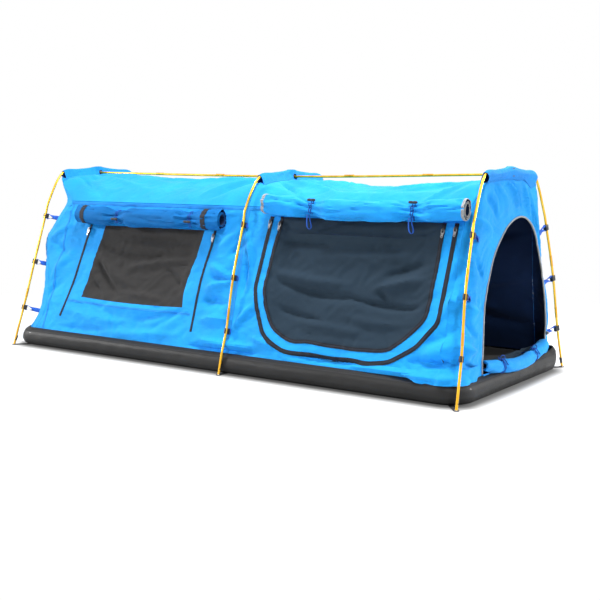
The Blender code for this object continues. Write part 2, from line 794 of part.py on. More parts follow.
def roof_spans():
    spans = [share * SEAM_HALF_SPAN for share in ROOF_SPAN_SHARES]
    return [-y for y in spans[:0:-1]] + spans


def roof_stations():
    """X of the roof's rows: beside each sleeve's two edges, and along the bays."""
    xs = []
    for hoop, sides in zip(HOOPS, ((1,), (-1, 0, 1), (-1,))):
        x = hoop_crown_x(hoop)
        for side in sides:
            xs.append(x + side * SLEEVE_HALF_WIDTH)
            xs.append(x + side * (SLEEVE_HALF_WIDTH + SLEEVE_FLANGE))
    for index in (0, 1):
        xs += [bay(share, index) for share in ROOF_BAY_SHARES]
    return sorted(set(round(x, 6) for x in xs))


def draw_row_in(row):
    """Fit a row of the roof between the end walls, closer in where their corners are round."""
    clear = CANVAS + SEAM_GAP
    for end, points, inward in (("foot", row, 1), ("head", row[::-1], -1)):
        height = points[0].z
        edge = end_wall_x(end, height) + inward * (corner_radius(end, height) + clear)
        first = points[1].x
        reach = inward * (hoop_crown_x("middle") - first) / 2
        push = max(0.0, inward * (edge - first) + ROOF_EDGE)
        for point in points[1:]:
            share = inward * (point.x - first) / reach
            if share < 1:
                point.x += inward * push * (1 - share)
        points[0].x = edge


def make_roof():
    rows = []
    inner = roof_stations()
    for y in roof_spans():
        row = [Vector((x, y, roof_height(x, y))) for x in (inner[0], *inner, inner[-1])]
        draw_row_in(row)
        rows.append(row)
    for row in (rows[0], rows[-1]):
        for point in row:
            point.z += 2 * SEAM_GAP
    roof = add_object("roof_panel", grid_mesh("roof_panel", rows), canvas_material())
    solidify(roof, CANVAS)


def wall_edge(end, slope):
    """X of a side wall's upright edge, where the rounded corner begins."""
    height = wall_height(slope)
    inward = 1 if end == "foot" else -1
    return end_wall_x(end, height) + inward * (corner_radius(end, height) + SEAM_GAP)


def wall_slopes():
    """Heights up the slope at which the upright corners of all four walls are set out."""
    inner = [share * WALL_HEIGHT for share in WALL_SHARES[:-1]]
    return [-WALL_LAP, *inner, WALL_HEIGHT - SEAM_GAP]


def wall_outline():
    foot_edge = [(wall_edge("foot", slope), slope) for slope in wall_slopes()]
    head_edge = [(wall_edge("head", slope), slope) for slope in wall_slopes()]
    return head_edge + foot_edge[::-1]


def window_outline(inset=0.0):
    head = WALL_HEIGHT - WINDOW_HEAD_BELOW_SEAM - inset
    sill = WINDOW_SILL + inset
    foot = [foot_bay(share) for share in WINDOW_FOOT_SHARES]
    top = [foot_bay(share) for share in WINDOW_HEAD_SHARES]
    return [(foot[0] + inset, sill), (foot[1] - inset, sill),
            (top[1] - inset, head), (top[0] + inset, head)]


def door_path(inset=0.0, below=0.0):
    """The open line of the door zip, down the foot side, along the sill and up the other."""
    head = WALL_HEIGHT - DOOR_HEAD_BELOW_SEAM - below
    tops = [head_bay(share) for share in DOOR_HEAD_SHARES]
    feet = [head_bay(share) for share in DOOR_FOOT_SHARES]
    a = Vector((tops[0] + inset, head))
    b = Vector((feet[0] + inset, DOOR_SILL + inset))
    c = Vector((feet[1] - inset, DOOR_SILL + inset))
    d = Vector((tops[1] - inset, head))
    first, second = [radius - inset for radius in DOOR_CORNER_RADII]
    steps = 2 * ARC_STEPS
    return [a, *rounded_corner(a, b, c, first, steps), *rounded_corner(b, c, d, second, steps), d]


def make_near_wall():
    outlines = [wall_outline(), window_outline(), door_path()]
    plate = flat_curve("near_wall", outlines, CANVAS)
    add_object("near_wall", plate, canvas_material(), wall_matrix())


def make_far_wall():
    """The far wall, with the slack folds that its height and bays leave in it."""
    rows = []
    for slope in wall_slopes():
        share = (slope + WALL_LAP) / (WALL_HEIGHT + WALL_LAP)
        foot, head = wall_edge("foot", slope), wall_edge("head", slope)
        row = []
        for i in range(FAR_WALL_STEPS + 1):
            along = i / FAR_WALL_STEPS
            x = between(foot, head, along)
            sway = math.sin(math.pi * share) * math.sqrt(max(0.0, math.sin(math.pi * along)))
            fold = FAR_WALL_FOLD * sway * math.sin(math.tau * (FAR_WALL_WAVES * along + share))
            y = wall_half_span(wall_height(slope)) - abs(fold)
            row.append(Vector((x, y, wall_height(slope))))
        rows.append(row)
    wall = add_object("far_wall", grid_mesh("far_wall", rows), canvas_material())
    solidify(wall, CANVAS)


def corner_drop(end, y, height):
    """How far an end wall's rounded corner has turned back from the flat, at y."""
    radius = corner_radius(end, height)
    inside = max(0.0, end_half_span(height) - abs(y))
    if inside >= radius:
        return 0.0
    return radius - math.sqrt(max(0.0, radius ** 2 - (radius - inside) ** 2))


def end_wall_point(end, y, height, fold=0.0):
    """A point of an end wall, whose folds die out where the tub's rim holds it."""
    inward = 1 if end == "foot" else -1
    freedom = max(0.0, min(1.0, (height - TUB_HEIGHT) / FOLD_FREE_HEIGHT))
    x = end_wall_x(end, height) + inward * (corner_drop(end, y, height) + fold * freedom)
    return Vector((x, y, height))


def end_wall_rim():
    """(y, height) around an end wall's edge, from one foot over the roof to the other."""
    half = []
    for slope in wall_slopes()[:-1]:
        height = wall_height(slope)
        half.append((wall_half_span(height), height))
    for span, rise in zip(ROOF_SPAN_SHARES[::-1], ROOF_HOOP_SHARES[::-1]):
        half.append((span * SEAM_HALF_SPAN, between(SEAM_HEIGHT, ROOF_CROWN_HEIGHT, rise)))
    return [(-y, z) for y, z in half] + half[-2::-1]


def make_foot_wall():
    """A closed end: rows from the middle of its foot out to its edge."""
    rim = end_wall_rim()
    count = len(rim)
    rows = []
    core = FOOT_WALL_CORE_SHARE * WALL_FOOT_HALF_SPAN
    for spread in FOOT_WALL_ROW_SHARES:
        row = []
        for i, (y, z) in enumerate(rim):
            share = i / (count - 1)
            centre_y = between(-core, core, share)
            centre_z = TUB_HEIGHT - WALL_LAP + WALL_HEIGHT / 3 * math.sin(math.pi * share)
            wave = math.sin(math.tau * FOOT_WALL_WAVES * share)
            fold = END_WALL_FOLD * math.sin(math.pi * spread) * wave
            y, z = between(centre_y, y, spread), between(centre_z, z, spread)
            row.append(end_wall_point("foot", y, z, fold))
        rows.append(row)
    wall = add_object("foot_wall", fan_mesh("foot_wall", rows), canvas_material())
    solidify(wall, CANVAS)


def fan_mesh(name, rows):
    """A sheet of rows from an inner line out to an edge, with the inner line's gap filled."""

    def build(shape):
        knots = [[shape.verts.new(point) for point in row] for row in rows]
        for low, high in zip(knots, knots[1:]):
            for i in range(len(low) - 1):
                shape.faces.new((low[i], low[i + 1], high[i + 1], high[i]))
        core = knots[0]
        last = len(core) - 1
        for i in range(last // 2):
            corners = [core[i], core[i + 1], core[last - i - 1], core[last - i]]
            shape.faces.new(list(dict.fromkeys(corners)))

    return mesh_from(name, build)


def arch_point(share):
    """(y, height) at a share of the way round the doorway's arch."""
    steps = [i / (len(ARCH_WIDTH_SHARES) - 1) for i in range(len(ARCH_WIDTH_SHARES))]
    along = 1 - abs(2 * share - 1)
    width = table_value(steps, ARCH_WIDTH_SHARES, along) * ARCH_FOOT_HALF_WIDTH
    rise = table_value(steps, ARCH_HEIGHT_SHARES, along) * ARCH_HEIGHT
    middle = ARCH_OFFSET + table_value(steps, ARCH_LEAN_SHARES, along) * ARCH_TOP_LEAN
    return middle + math.copysign(width, share - 0.5), TUB_HEIGHT - WALL_LAP + rise


def make_head_wall():
    """The end wall with the doorway, its slack falling in folds from the sleeve."""
    rim = end_wall_rim()
    count = len(rim)
    rows = []
    for spread in HEAD_WALL_ROW_SHARES:
        row = []
        for i, (rim_y, rim_z) in enumerate(rim):
            share = i / (count - 1)
            arch_y, arch_z = arch_point(share)
            over = math.sin(math.pi * share) ** 3
            wave = math.sin(math.tau * HEAD_WALL_WAVES * (share - 0.5))
            fold = END_WALL_FOLD * math.sin(math.pi * spread) * over * wave
            y, z = between(arch_y, rim_y, spread), between(arch_z, rim_z, spread)
            row.append(end_wall_point("head", y, z, fold))
        rows.append(row)
    wall = add_object("head_wall", grid_mesh("head_wall", rows), canvas_material())
    solidify(wall, CANVAS)


# Sleeves


def sleeve_section(x, y, top):
    """Points across a sleeve at y: flat on the roof, up and over the pole."""
    flange = SLEEVE_HALF_WIDTH + SLEEVE_FLANGE
    crown = SLEEVE_CROWN_WIDTH
    bend = between(SLEEVE_HALF_WIDTH, crown, SLEEVE_BEND_IN_SHARE)
    rises = ((flange, 0.0), (SLEEVE_HALF_WIDTH, 0.0), (bend, SLEEVE_BEND_UP_SHARE),
             (crown, SLEEVE_SHOULDER_SHARE), (crown / 2, SLEEVE_TOP_SHARE), (0.0, 1.0))
    half = []
    for out, rise in rises:
        foot_left = roof_height(x - out, y) + SLEEVE_LIFT
        foot_right = roof_height(x + out, y) + SLEEVE_LIFT
        half.append((out, between(foot_left, top, rise), between(foot_right, top, rise)))
    left = [Vector((x - out, y, low)) for out, low, _ in half]
    right = [Vector((x + out, y, high)) for out, _, high in half[-2::-1]]
    return left + right


def make_sleeves():
    for hoop in HOOPS:
        x = hoop_crown_x(hoop)
        rows = []
        for y in roof_spans():
            if abs(y) > SLEEVE_SPAN_SHARE * SEAM_HALF_SPAN + GAP:
                continue
            top = crown_line(hoop, y) + POLE_RADIUS + SLEEVE_SLACK
            rows.append(sleeve_section(x, y, top))
        sleeve = add_object(f"pole_sleeve_{hoop}", grid_mesh(f"pole_sleeve_{hoop}", rows),
                            canvas_material())
        solidify(sleeve, CANVAS)
        base = roof_height(x, 0.0) + SLEEVE_LIFT + CANVAS
        reach = SLEEVE_HALF_WIDTH + SLEEVE_FLANGE + CUT_OVERRUN
        notch = box_object(f"sleeve_notch_{hoop}", (x - reach, -SLEEVE_NOTCH, base),
                           (x + reach, SLEEVE_NOTCH, CROWN_HEIGHT + reach), canvas_material())
        make_cutter(notch)
        boolean(sleeve, notch, "DIFFERENCE")


# Pole clips


def clip_curve():
    bore = POLE_RADIUS + CLIP_SLACK
    outer = bore + CLIP_WALL
    end = outer + CLIP_LUG
    outline = []
    for i in range(ARC_STEPS + 1):
        angle = -math.pi + CLIP_MOUTH + i / ARC_STEPS * (math.pi / 2 - CLIP_MOUTH)
        outline.append((outer * math.cos(angle), outer * math.sin(angle)))
    outline += [(end, -outer), (end, outer)]
    outline += [(x, -y) for x, y in outline[ARC_STEPS::-1]]
    for i in range(2 * ARC_STEPS + 1):
        angle = (math.pi - CLIP_MOUTH) * (1 - i / ARC_STEPS)
        outline.append((bore * math.cos(angle), bore * math.sin(angle)))
    high = end - CLIP_WALL / 2
    low = high - CLIP_SLOT
    wide = outer - CLIP_WALL
    slot = [(low, -wide), (high, -wide), (high, wide), (low, wide)]
    return flat_curve("pole_clip", [outline, slot], CLIP_LENGTH)


def clip_places():
    """(name, the clip's place with Z up the pole and X towards the canopy)."""
    for hoop in HOOPS:
        for side, side_name in ((-1, "near"), (1, "far")):
            for slope, level in zip(CLIP_STATIONS, ("low", "mid", "high")):
                height = wall_height(slope)
                point, up = hoop_point(hoop, side, height)
                edge = point.x
                if hoop != "middle":
                    edge = end_wall_x(hoop, height)
                seam = Vector((edge, side * wall_half_span(height), height))
                yield f"pole_clip_{hoop}_{side_name}_{level}", frame_matrix(point, seam - point, up)


def make_clips():
    shape = clip_curve()
    for name, place in clip_places():
        add_object(name, shape, plastic_material(), place)


# Window and door in the near wall


def strip(path_low, path_high):
    return [*path_low, *path_high[::-1]]


def make_window():
    mesh = flat_curve("window_mesh", [window_outline(SEAM_GAP)], MESH_SKIN)
    add_object("window_mesh", mesh, mesh_material(), wall_matrix())
    for i, side in enumerate(("left", "right")):
        foot, head = window_zip_ends(i)
        low = [(foot.x - ZIP_WIDTH / 2, foot.y), (head.x - ZIP_WIDTH / 2, head.y)]
        high = [(x + ZIP_WIDTH, y) for x, y in low]
        plate = flat_curve(f"window_zip_{side}", [strip(low, high)], ZIP_HEIGHT)
        add_object(f"window_zip_{side}", plate, zip_material(), wall_matrix(out=zip_out()))


def window_zip_ends(i):
    head = WALL_HEIGHT - WINDOW_HEAD_BELOW_SEAM
    return (Vector((foot_bay(WINDOW_ZIP_FOOT_SHARES[i]), WINDOW_ZIP_FOOT)),
            Vector((foot_bay(WINDOW_ZIP_HEAD_SHARES[i]), head)))


def zip_out():
    """How far a zip's middle plane stands out of the wall's."""
    return CANVAS / 2 + GAP + ZIP_HEIGHT / 2


def make_door():
    mesh = flat_curve("door_mesh", [door_path(DOOR_BORDER + SEAM_GAP, SEAM_GAP)], MESH_SKIN)
    add_object("door_mesh", mesh, mesh_material(), wall_matrix())
    border = strip(door_path(SEAM_GAP, SEAM_GAP), door_path(DOOR_BORDER, SEAM_GAP))
    add_object("door_border", flat_curve("door_border", [border], CANVAS), canvas_material(),
               wall_matrix())
    for name, inset in (("door_outer_zip", 0.0), ("door_inner_zip", DOOR_BORDER)):
        outline = strip(door_path(inset - ZIP_WIDTH / 2), door_path(inset + ZIP_WIDTH / 2))
        add_object(name, flat_curve(name, [outline], ZIP_HEIGHT), zip_material(),
                   wall_matrix(out=zip_out()))


# Sliders and pulls


def slider_curve():
    """A slider seen from the side, from its foot on the zip up over its bail."""
    half, top = SLIDER_LENGTH / 2, SLIDER_HEIGHT
    bail, rise = BAIL_LENGTH / 2, SLIDER_HEIGHT + BAIL_HOLE_HEIGHT + BAIL_SKIN
    slope = BAIL_SKIN
    outline = [(-half, 0.0), (half, 0.0), (half, top - slope), (half - slope, top), (bail, top),
               (bail, rise - slope), (bail - slope, rise), (slope - bail, rise),
               (-bail, rise - slope), (-bail, top), (slope - half, top), (-half, top - slope)]
    hole = [(-BAIL_HOLE / 2, top), (BAIL_HOLE / 2, top),
            (BAIL_HOLE / 2, top + BAIL_HOLE_HEIGHT), (-BAIL_HOLE / 2, top + BAIL_HOLE_HEIGHT)]
    return flat_curve("slider", [outline, hole], SLIDER_WIDTH)


def pull_curve():
    """A pull from its bar, which turns in the bail, down to its eye."""
    half, bar = PULL_WIDTH / 2, PULL_SKIN / 2
    inner = SLIDER_WIDTH / 2 + GAP
    narrow = PULL_EYE_RADIUS * 2
    end = bar - PULL_LENGTH
    outline = [(-half, bar), (half, bar), (half, -PULL_WINDOW), (narrow, -PULL_WINDOW - narrow),
               (narrow, end + narrow), (narrow / 2, end), (-narrow / 2, end),
               (-narrow, end + narrow), (-narrow, -PULL_WINDOW - narrow), (-half, -PULL_WINDOW)]
    window = [(-inner, -bar), (inner, -bar), (inner, -PULL_WINDOW), (-inner, -PULL_WINDOW)]
    angles = [i * math.tau / EYE_SIDES for i in range(EYE_SIDES)]
    eye = [(PULL_EYE_RADIUS * math.cos(angle), end + narrow + PULL_EYE_RADIUS * math.sin(angle))
           for angle in angles]
    return flat_curve("pull", [outline, window, eye], PULL_SKIN)


def slider_places():
    """(name, the slider's place with Y up the zip and Z out of the canopy)."""
    out = zip_out() + ZIP_HEIGHT / 2 + GAP
    for i, side in enumerate(("left", "right")):
        foot, head = window_zip_ends(i)
        yield f"window_{side}", slider_place(head, foot, out)
    path = door_path()
    yield "door_left", slider_place(path[0], path[1], out)
    yield "door_right", slider_place(path[-1], path[-2], out)


def slider_place(head, foot, out):
    """The place on a straight zip, a little below its top."""
    up = (Vector(head) - Vector(foot)).normalized()
    point = Vector(head) - up * SLIDER_BELOW_ZIP_TOP
    local = frame_matrix((point.x, point.y, out), (up.y, -up.x, 0.0), (0.0, 0.0, 1.0))
    return wall_matrix() @ local


def add_slider(name, place):
    """A slider: its side view lies in the place's YZ plane."""
    upright = Matrix(((0, 0, 1, 0), (1, 0, 0, 0), (0, 1, 0, 0), (0, 0, 0, 1)))
    add_object(f"{name}_slider", slider_curve(), metal_material(), place @ upright)


def make_sliders():
    to_bail_hole = Matrix.Translation((0, 0, SLIDER_HEIGHT + BAIL_HOLE_HEIGHT / 2))
    for name, place in slider_places():
        add_slider(name, place)
        add_object(f"{name}_pull", pull_curve(), metal_material(), place @ to_bail_hole)


# Rolled covers and their toggles


def pinch(x, ties):
    """A roll's size at x as a share of its full size: drawn in at each tie."""
    nearest = min(abs(x - tie) for tie in ties)
    away = max(0.0, min(1.0, (nearest - ROLL_PINCH_FLAT) / (ROLL_PINCH_REACH - ROLL_PINCH_FLAT)))
    return between(ROLL_PINCH_SHARE, 1.0, 0.5 - 0.5 * math.cos(math.pi * away))


def roll_centre(x, ends, slope, sag, ties):
    """(slope, distance out, size share) of a roll's middle at x."""
    share = (x - ends[0]) / (ends[1] - ends[0])
    size = pinch(x, ties)
    drop = sag * math.sin(math.pi * max(0.0, min(1.0, share)))
    return slope - drop, CANVAS / 2 + GAP + ROLL_HALF_DEPTH * size, size


def make_cover_roll(name, ends, slope, sag, ties):
    """A cover rolled up along X against the wall, open at both ends."""
    wall = wall_matrix()

    def ring(x, thinner=0.0):
        up, out, size = roll_centre(x, ends, slope, sag, ties)
        points = []
        for i in range(ROLL_SIDES):
            angle = math.tau * i / ROLL_SIDES
            high = (ROLL_HALF_HEIGHT * size - thinner) * math.sin(angle)
            deep = (ROLL_HALF_DEPTH * size - thinner) * math.cos(angle)
            points.append(wall @ Vector((x, up + high, out + deep)))
        return points

    xs = {ends[0], ends[1]}
    for tie in ties:
        halfway = (ROLL_PINCH_FLAT + ROLL_PINCH_REACH) / 2
        for away in (ROLL_PINCH_FLAT, halfway, ROLL_PINCH_REACH):
            xs |= {tie - away, tie + away}
    xs |= {between(ties[0], ties[1], share) for share in ROLL_SLACK_SHARES}
    xs = [x for x in sorted(xs) if ends[0] <= x <= ends[1]]
    rings = [ring(ends[0] + ROLL_BORE, ROLL_WALL), ring(ends[0], ROLL_WALL)]
    rings += [ring(x) for x in xs]
    rings += [ring(ends[1], ROLL_WALL), ring(ends[1] - ROLL_BORE, ROLL_WALL)]
    add_object(name, ring_mesh(name, rings), canvas_material())


def roll_settings():
    """name: (ends, slope, sag, ties, angle of the toggles round the roll)."""
    window_ends = [foot_bay(share) for share in WINDOW_ROLL_SHARES]
    door_ends = [head_bay(share) for share in DOOR_ROLL_SHARES]
    return {
        "window": (window_ends, WALL_HEIGHT - WINDOW_ROLL_BELOW_SEAM, WINDOW_ROLL_SAG,
                   [between(*window_ends, share) for share in WINDOW_TIE_SHARES],
                   math.radians(-25)),
        "door": (door_ends, WALL_HEIGHT + DOOR_ROLL_ABOVE_SEAM, DOOR_ROLL_SAG,
                 [between(*door_ends, share) for share in DOOR_TIE_SHARES], math.radians(50)),
    }


def toggle_place(settings, tie):
    """A toggle's place on a roll: X along the peg, Z out of the roll."""
    ends, slope, sag, ties, angle = settings
    up, out, size = roll_centre(tie, ends, slope, sag, ties)
    deep, high = ROLL_HALF_DEPTH * size, ROLL_HALF_HEIGHT * size
    normal = Vector((0.0, math.sin(angle) / high, math.cos(angle) / deep)).normalized()
    surface = Vector((tie, up + high * math.sin(angle), out + deep * math.cos(angle)))
    lift = TOGGLE_RADIUS + 2 * GAP
    return wall_matrix() @ frame_matrix(surface + normal * lift, (1, 0, 0), normal)


def toggle_mesh():
    """A peg turned along X, with a waist for its cord."""
    half = [(out * TOGGLE_LENGTH / 2, size * TOGGLE_RADIUS) for out, size in TOGGLE_PROFILE_SHARES]
    profile = [(-x, size) for x, size in half[::-1]] + [(0.0, TOGGLE_WAIST)] + half
    angles = [i * math.tau / PEG_SIDES for i in range(PEG_SIDES)]
    rings = [[Vector((x, size * math.cos(angle), size * math.sin(angle))) for angle in angles]
             for x, size in profile]
    return ring_mesh("toggle", rings)


def make_rolls():
    peg = toggle_mesh()
    for name, settings in roll_settings().items():
        ends, slope, sag, ties, _ = settings
        make_cover_roll(f"{name}_cover_roll", ends, slope, sag, ties)
        for tie, side in zip(ties, ("left", "right")):
            add_object(f"{name}_toggle_{side}", peg, plastic_material(),
                       toggle_place(settings, tie))


# Head-end door


def doorway_path():
    """Points of the doorway's edge on the outer face of the head wall."""
    steps = 2 * (len(ARCH_WIDTH_SHARES) - 1)
    lift = Vector((CANVAS / 2 + GAP + PIPING_RADIUS, 0.0, 0.0))
    points = []
    for i in range(steps + 1):
        y, z = arch_point(i / steps)
        points.append(end_wall_point("head", y, max(z, TUB_HEIGHT + HEAD_ROLL_RADIUS)) + lift)
    return points


def rolled_tube(name, centres, radius, paint):
    """A soft roll through the given points, its ends drawn in a little."""
    rings = []
    last = len(centres) - 1
    for i, centre in enumerate(centres):
        along = (centres[min(i + 1, last)] - centres[max(i - 1, 0)]).normalized()
        place = frame_matrix(centre, (0, 0, 1), along)
        size = radius * (SOFT_END_SHARE if i in (0, last) else 1.0)
        rings.append([place @ Vector((size * math.cos(j * math.tau / ROLL_SIDES),
                                      size * math.sin(j * math.tau / ROLL_SIDES), 0.0))
                      for j in range(ROLL_SIDES)])
    add_object(name, ring_mesh(name, rings), paint)


def make_head_door():
    add_object("head_door_piping", rod_curve("head_door_piping", doorway_path(), PIPING_RADIUS, 1),
               binding_material())
    rest = TUB_HEIGHT + GAP + HEAD_ROLL_RADIUS
    out = TUB_LENGTH / 2 - HEAD_ROLL_RADIUS - GAP
    centres = []
    for share in ROLL_SHARES:
        y = between(-HEAD_ROLL_NEAR_END, HEAD_ROLL_FAR_END, share)
        curl = abs(2 * share - 1) ** HEAD_ROLL_CURL
        centres.append(Vector((out, y, rest + HEAD_ROLL_RISE * curl)))
    rolled_tube("head_door_roll", centres, HEAD_ROLL_RADIUS, canvas_material())
    bed = TUB_SKIN + MATTRESS_HEIGHT + 2 * GAP + MESH_ROLL_RADIUS
    apart = HEAD_ROLL_RADIUS + MESH_ROLL_RADIUS + GAP
    inner = out - math.sqrt(apart ** 2 - (rest - bed) ** 2)
    centres = [Vector((inner, between(-MESH_ROLL_NEAR_END, MESH_ROLL_FAR_END, share), bed))
               for share in ROLL_SHARES]
    rolled_tube("head_mesh_roll", centres, MESH_ROLL_RADIUS, mesh_material())


def head_slider_place():
    """The slider on the far leg of the doorway's zip: Y up the zip, Z out of the tent."""
    path = doorway_path()
    low, high = path[-2], path[-3]
    up = (high - low).normalized()
    point = low + up * SLIDER_LENGTH
    off_piping = Vector((PIPING_RADIUS + GAP, 0.0, 0.0))
    outward = Vector((1.0, 0.0, 0.0))
    z_axis = (outward - up * up.x).normalized()
    return frame_matrix(point + off_piping, up.cross(z_axis), z_axis)


def make_head_slider():
    add_slider("head", head_slider_place())


def main():
    clear_scene()
    make_tub()
    make_mattress()
    make_near_wall()
    make_far_wall()
    make_foot_wall()
    make_head_wall()
    make_roof()
    make_hoops()
    make_ridge_pole()
    make_sleeves()
    for hoop, inward in zip(HOOPS, (1, 0, -1)):
        make_hub(hoop, inward)
    make_clips()
    make_window()
    make_door()
    make_sliders()
    make_rolls()
    make_head_door()
    make_head_slider()


main()
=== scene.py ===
import math

import bpy
import numpy as np
from mathutils import Matrix, Vector, noise


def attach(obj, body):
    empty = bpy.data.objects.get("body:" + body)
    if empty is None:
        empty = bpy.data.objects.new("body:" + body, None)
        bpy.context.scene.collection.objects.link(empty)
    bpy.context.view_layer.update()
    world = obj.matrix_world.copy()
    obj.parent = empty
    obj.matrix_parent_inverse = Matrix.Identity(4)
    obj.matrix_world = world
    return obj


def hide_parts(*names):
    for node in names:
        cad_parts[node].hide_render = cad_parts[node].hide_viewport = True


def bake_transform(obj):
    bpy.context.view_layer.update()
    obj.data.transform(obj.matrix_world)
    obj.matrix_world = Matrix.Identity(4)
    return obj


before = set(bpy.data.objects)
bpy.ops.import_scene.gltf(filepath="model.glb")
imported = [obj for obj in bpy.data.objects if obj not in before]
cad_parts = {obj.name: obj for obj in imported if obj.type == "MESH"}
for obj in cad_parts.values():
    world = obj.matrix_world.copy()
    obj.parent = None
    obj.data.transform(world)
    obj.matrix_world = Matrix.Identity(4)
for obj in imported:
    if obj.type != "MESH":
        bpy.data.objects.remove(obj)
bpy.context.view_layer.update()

# Sizes of the tent, in metres. +X is the open head end and the door faces -Y

TUB_LENGTH, TUB_WIDTH, TUB_HEIGHT = 2.15, 0.90, 0.075
RIM_TUCK = 0.0265
WALL_LEAN = math.radians(14.5)
WALL_HEIGHT = 0.565
WALL_LAP = 0.014
WALL_FOOT = 0.4204
END_X = 1.0454
INWARD = {"foot": 1, "head": -1}
SIDES = ((-1, "near"), (1, "far"))
SEAM_SPAN = WALL_FOOT - WALL_HEIGHT * math.sin(WALL_LEAN)
SEAM_Z = TUB_HEIGHT + WALL_HEIGHT * math.cos(WALL_LEAN)
CROWN_Z = 0.757
ROOF_Z = 0.732
CANVAS = 0.0012
MESH_CLOTH = 0.0008
TAPE = 0.0012

# Up the corners, as heights: how far each end wall stands back, and how round its corner is.
# Above the seam the rounding dies away by this share of the shoulder's rise
CORNER_Z = np.array([0.075, 0.104, 0.165, 0.329, 0.450, 0.540, 0.622, 0.732])
END_BACK = {"foot": np.array([0.0, 0.020, 0.046, 0.046, 0.034, 0.061, 0.091, 0.026]),
            "head": np.array([0.0, 0.001, 0.002, 0.006, 0.009, 0.011, 0.0134, 0.016])}
END_ROUND = {"foot": np.array([0.074, 0.073, 0.066, 0.050, 0.030, 0.055, 0.080, 0.080]),
             "head": np.array([0.074, 0.073, 0.070, 0.060, 0.050, 0.044, 0.042, 0.042])}
ROUND_TO = 0.855

# Across the roof from the ridge to the seam: shares of the span, and of the rise over a
# hoop and in the middle of each bay
SPANS = np.array([0.0, 0.2, 0.4, 0.58, 0.69, 0.76, 0.86, 0.93, 1.0])
RISE_HOOP = np.array([1.0, 0.998, 0.985, 0.945, 0.905, 0.855, 0.62, 0.36, 0.0])
RISE_FOOT_BAY = np.array([0.92, 0.88, 0.77, 0.60, 0.48, 0.40, 0.25, 0.13, 0.0])
RISE_HEAD_BAY = np.array([0.73, 0.72, 0.65, 0.54, 0.44, 0.37, 0.23, 0.12, 0.0])

# The hoops: where each stands, how far it tilts by the crown, and how far its legs stand off
# the long walls, at the floor and at the stations up the slope
HOOPS = ("foot", "middle", "head")
MIDDLE_X = 0.086
HOOP_FOOT_X = {"foot": -1.0525, "middle": MIDDLE_X, "head": 1.065}
HOOP_TILT = {"foot": 0.0505, "middle": 0.0, "head": -0.040}
HOOP_TOP = {"foot": 0.757, "middle": 0.748, "head": 0.764}
HOOP_LEGS = {
    "foot": (0.029, 0.0265, 0.021, 0.017, 0.012, 0.010),
    "middle": (0.025, 0.0255, 0.020, 0.029, 0.019, 0.018),
    "head": (0.029, 0.0275, 0.026, 0.040, 0.028, 0.018),
}
LEG_STATIONS = (0.0, 0.100, 0.300, 0.490, WALL_HEIGHT)
SHOULDER_IN, SHOULDER_DROP = 0.059, 0.0193
POLE = 0.0045
POLE_FOOT_Z = 0.0018
RIDGE_DROP = 0.0125


# Places on the tent


def wall_half(z):
    return WALL_FOOT - (z - TUB_HEIGHT) * math.tan(WALL_LEAN)


def wall_z(slope):
    return TUB_HEIGHT + slope * math.cos(WALL_LEAN)


def wall_place(x, slope, out, side=-1):
    """Points of a long wall: along it, up its slope and out from it. Side is -1 near, 1 far."""
    half = WALL_FOOT - slope * math.sin(WALL_LEAN) + out * math.cos(WALL_LEAN)
    return np.stack([x, side * half, wall_z(slope) + out * math.sin(WALL_LEAN)], -1)


def eased(stations, values, at):
    """A smooth curve through the values, level past its ends."""
    at = np.clip(at, stations[0], stations[-1])
    slopes = np.gradient(values, stations)
    i = np.clip(np.searchsorted(stations, at) - 1, 0, len(stations) - 2)
    gap = stations[i + 1] - stations[i]
    t = (at - stations[i]) / gap
    near = values[i] * (1 + 2 * t) * (1 - t) ** 2 + slopes[i] * gap * t * (1 - t) ** 2
    return near + values[i + 1] * (3 - 2 * t) * t ** 2 + slopes[i + 1] * gap * (t - 1) * t ** 2


def hoop_x(hoop, z):
    return HOOP_FOOT_X[hoop] + HOOP_TILT[hoop] * z / CROWN_Z


def hoop_top_x(hoop):
    return hoop_x(hoop, HOOP_TOP[hoop])


def smooth_line(points, steps):
    """Points along a smooth curve through the given ones."""
    points = [Vector(point) for point in points]
    padded = [2 * points[0] - points[1], *points, 2 * points[-1] - points[-2]]
    line = []
    for p0, p1, p2, p3 in zip(padded, padded[1:], padded[2:], padded[3:]):
        for step in range(steps):
            t = step / steps
            line.append(0.5 * (2 * p1 + (p2 - p0) * t + (2 * p0 - 5 * p1 + 4 * p2 - p3) * t * t
                               + (3 * p1 - p0 - 3 * p2 + p3) * t ** 3))
    return [*line, points[-1]]


def hoop_line(hoop, steps=10):
    """A hoop's middle line from its near foot over to its far foot."""
    top = HOOP_TOP[hoop]
    heights = [0.0, *[wall_z(slope) for slope in LEG_STATIONS]]
    half = [Vector((wall_half(z) + off, z)) for z, off in zip(heights, HOOP_LEGS[hoop])]
    shoulder = Vector((SEAM_SPAN - SHOULDER_IN, top - SHOULDER_DROP))
    half += [shoulder, Vector((shoulder.x * 0.55, shoulder.y + 0.78 * SHOULDER_DROP)),
             Vector((0.0, top))]
    full = half + [Vector((-p.x, p.y)) for p in half[-2::-1]]
    line = smooth_line(full, steps)
    return [Vector((hoop_x(hoop, p.y), -p.x, max(p.y, POLE))) for p in line]


def end_x(end, z):
    """Where an end wall's flat middle stands."""
    return INWARD[end] * (eased(CORNER_Z, END_BACK[end], z) - END_X)


def corner_round(end, z):
    """The radius of an end wall's upright corners."""
    left = np.clip(1 - (z - SEAM_Z) / (ROUND_TO * (ROOF_Z - SEAM_Z)), 0.0, 1.0)
    return eased(CORNER_Z, END_ROUND[end], z) * np.where(z > SEAM_Z, left, 1.0)


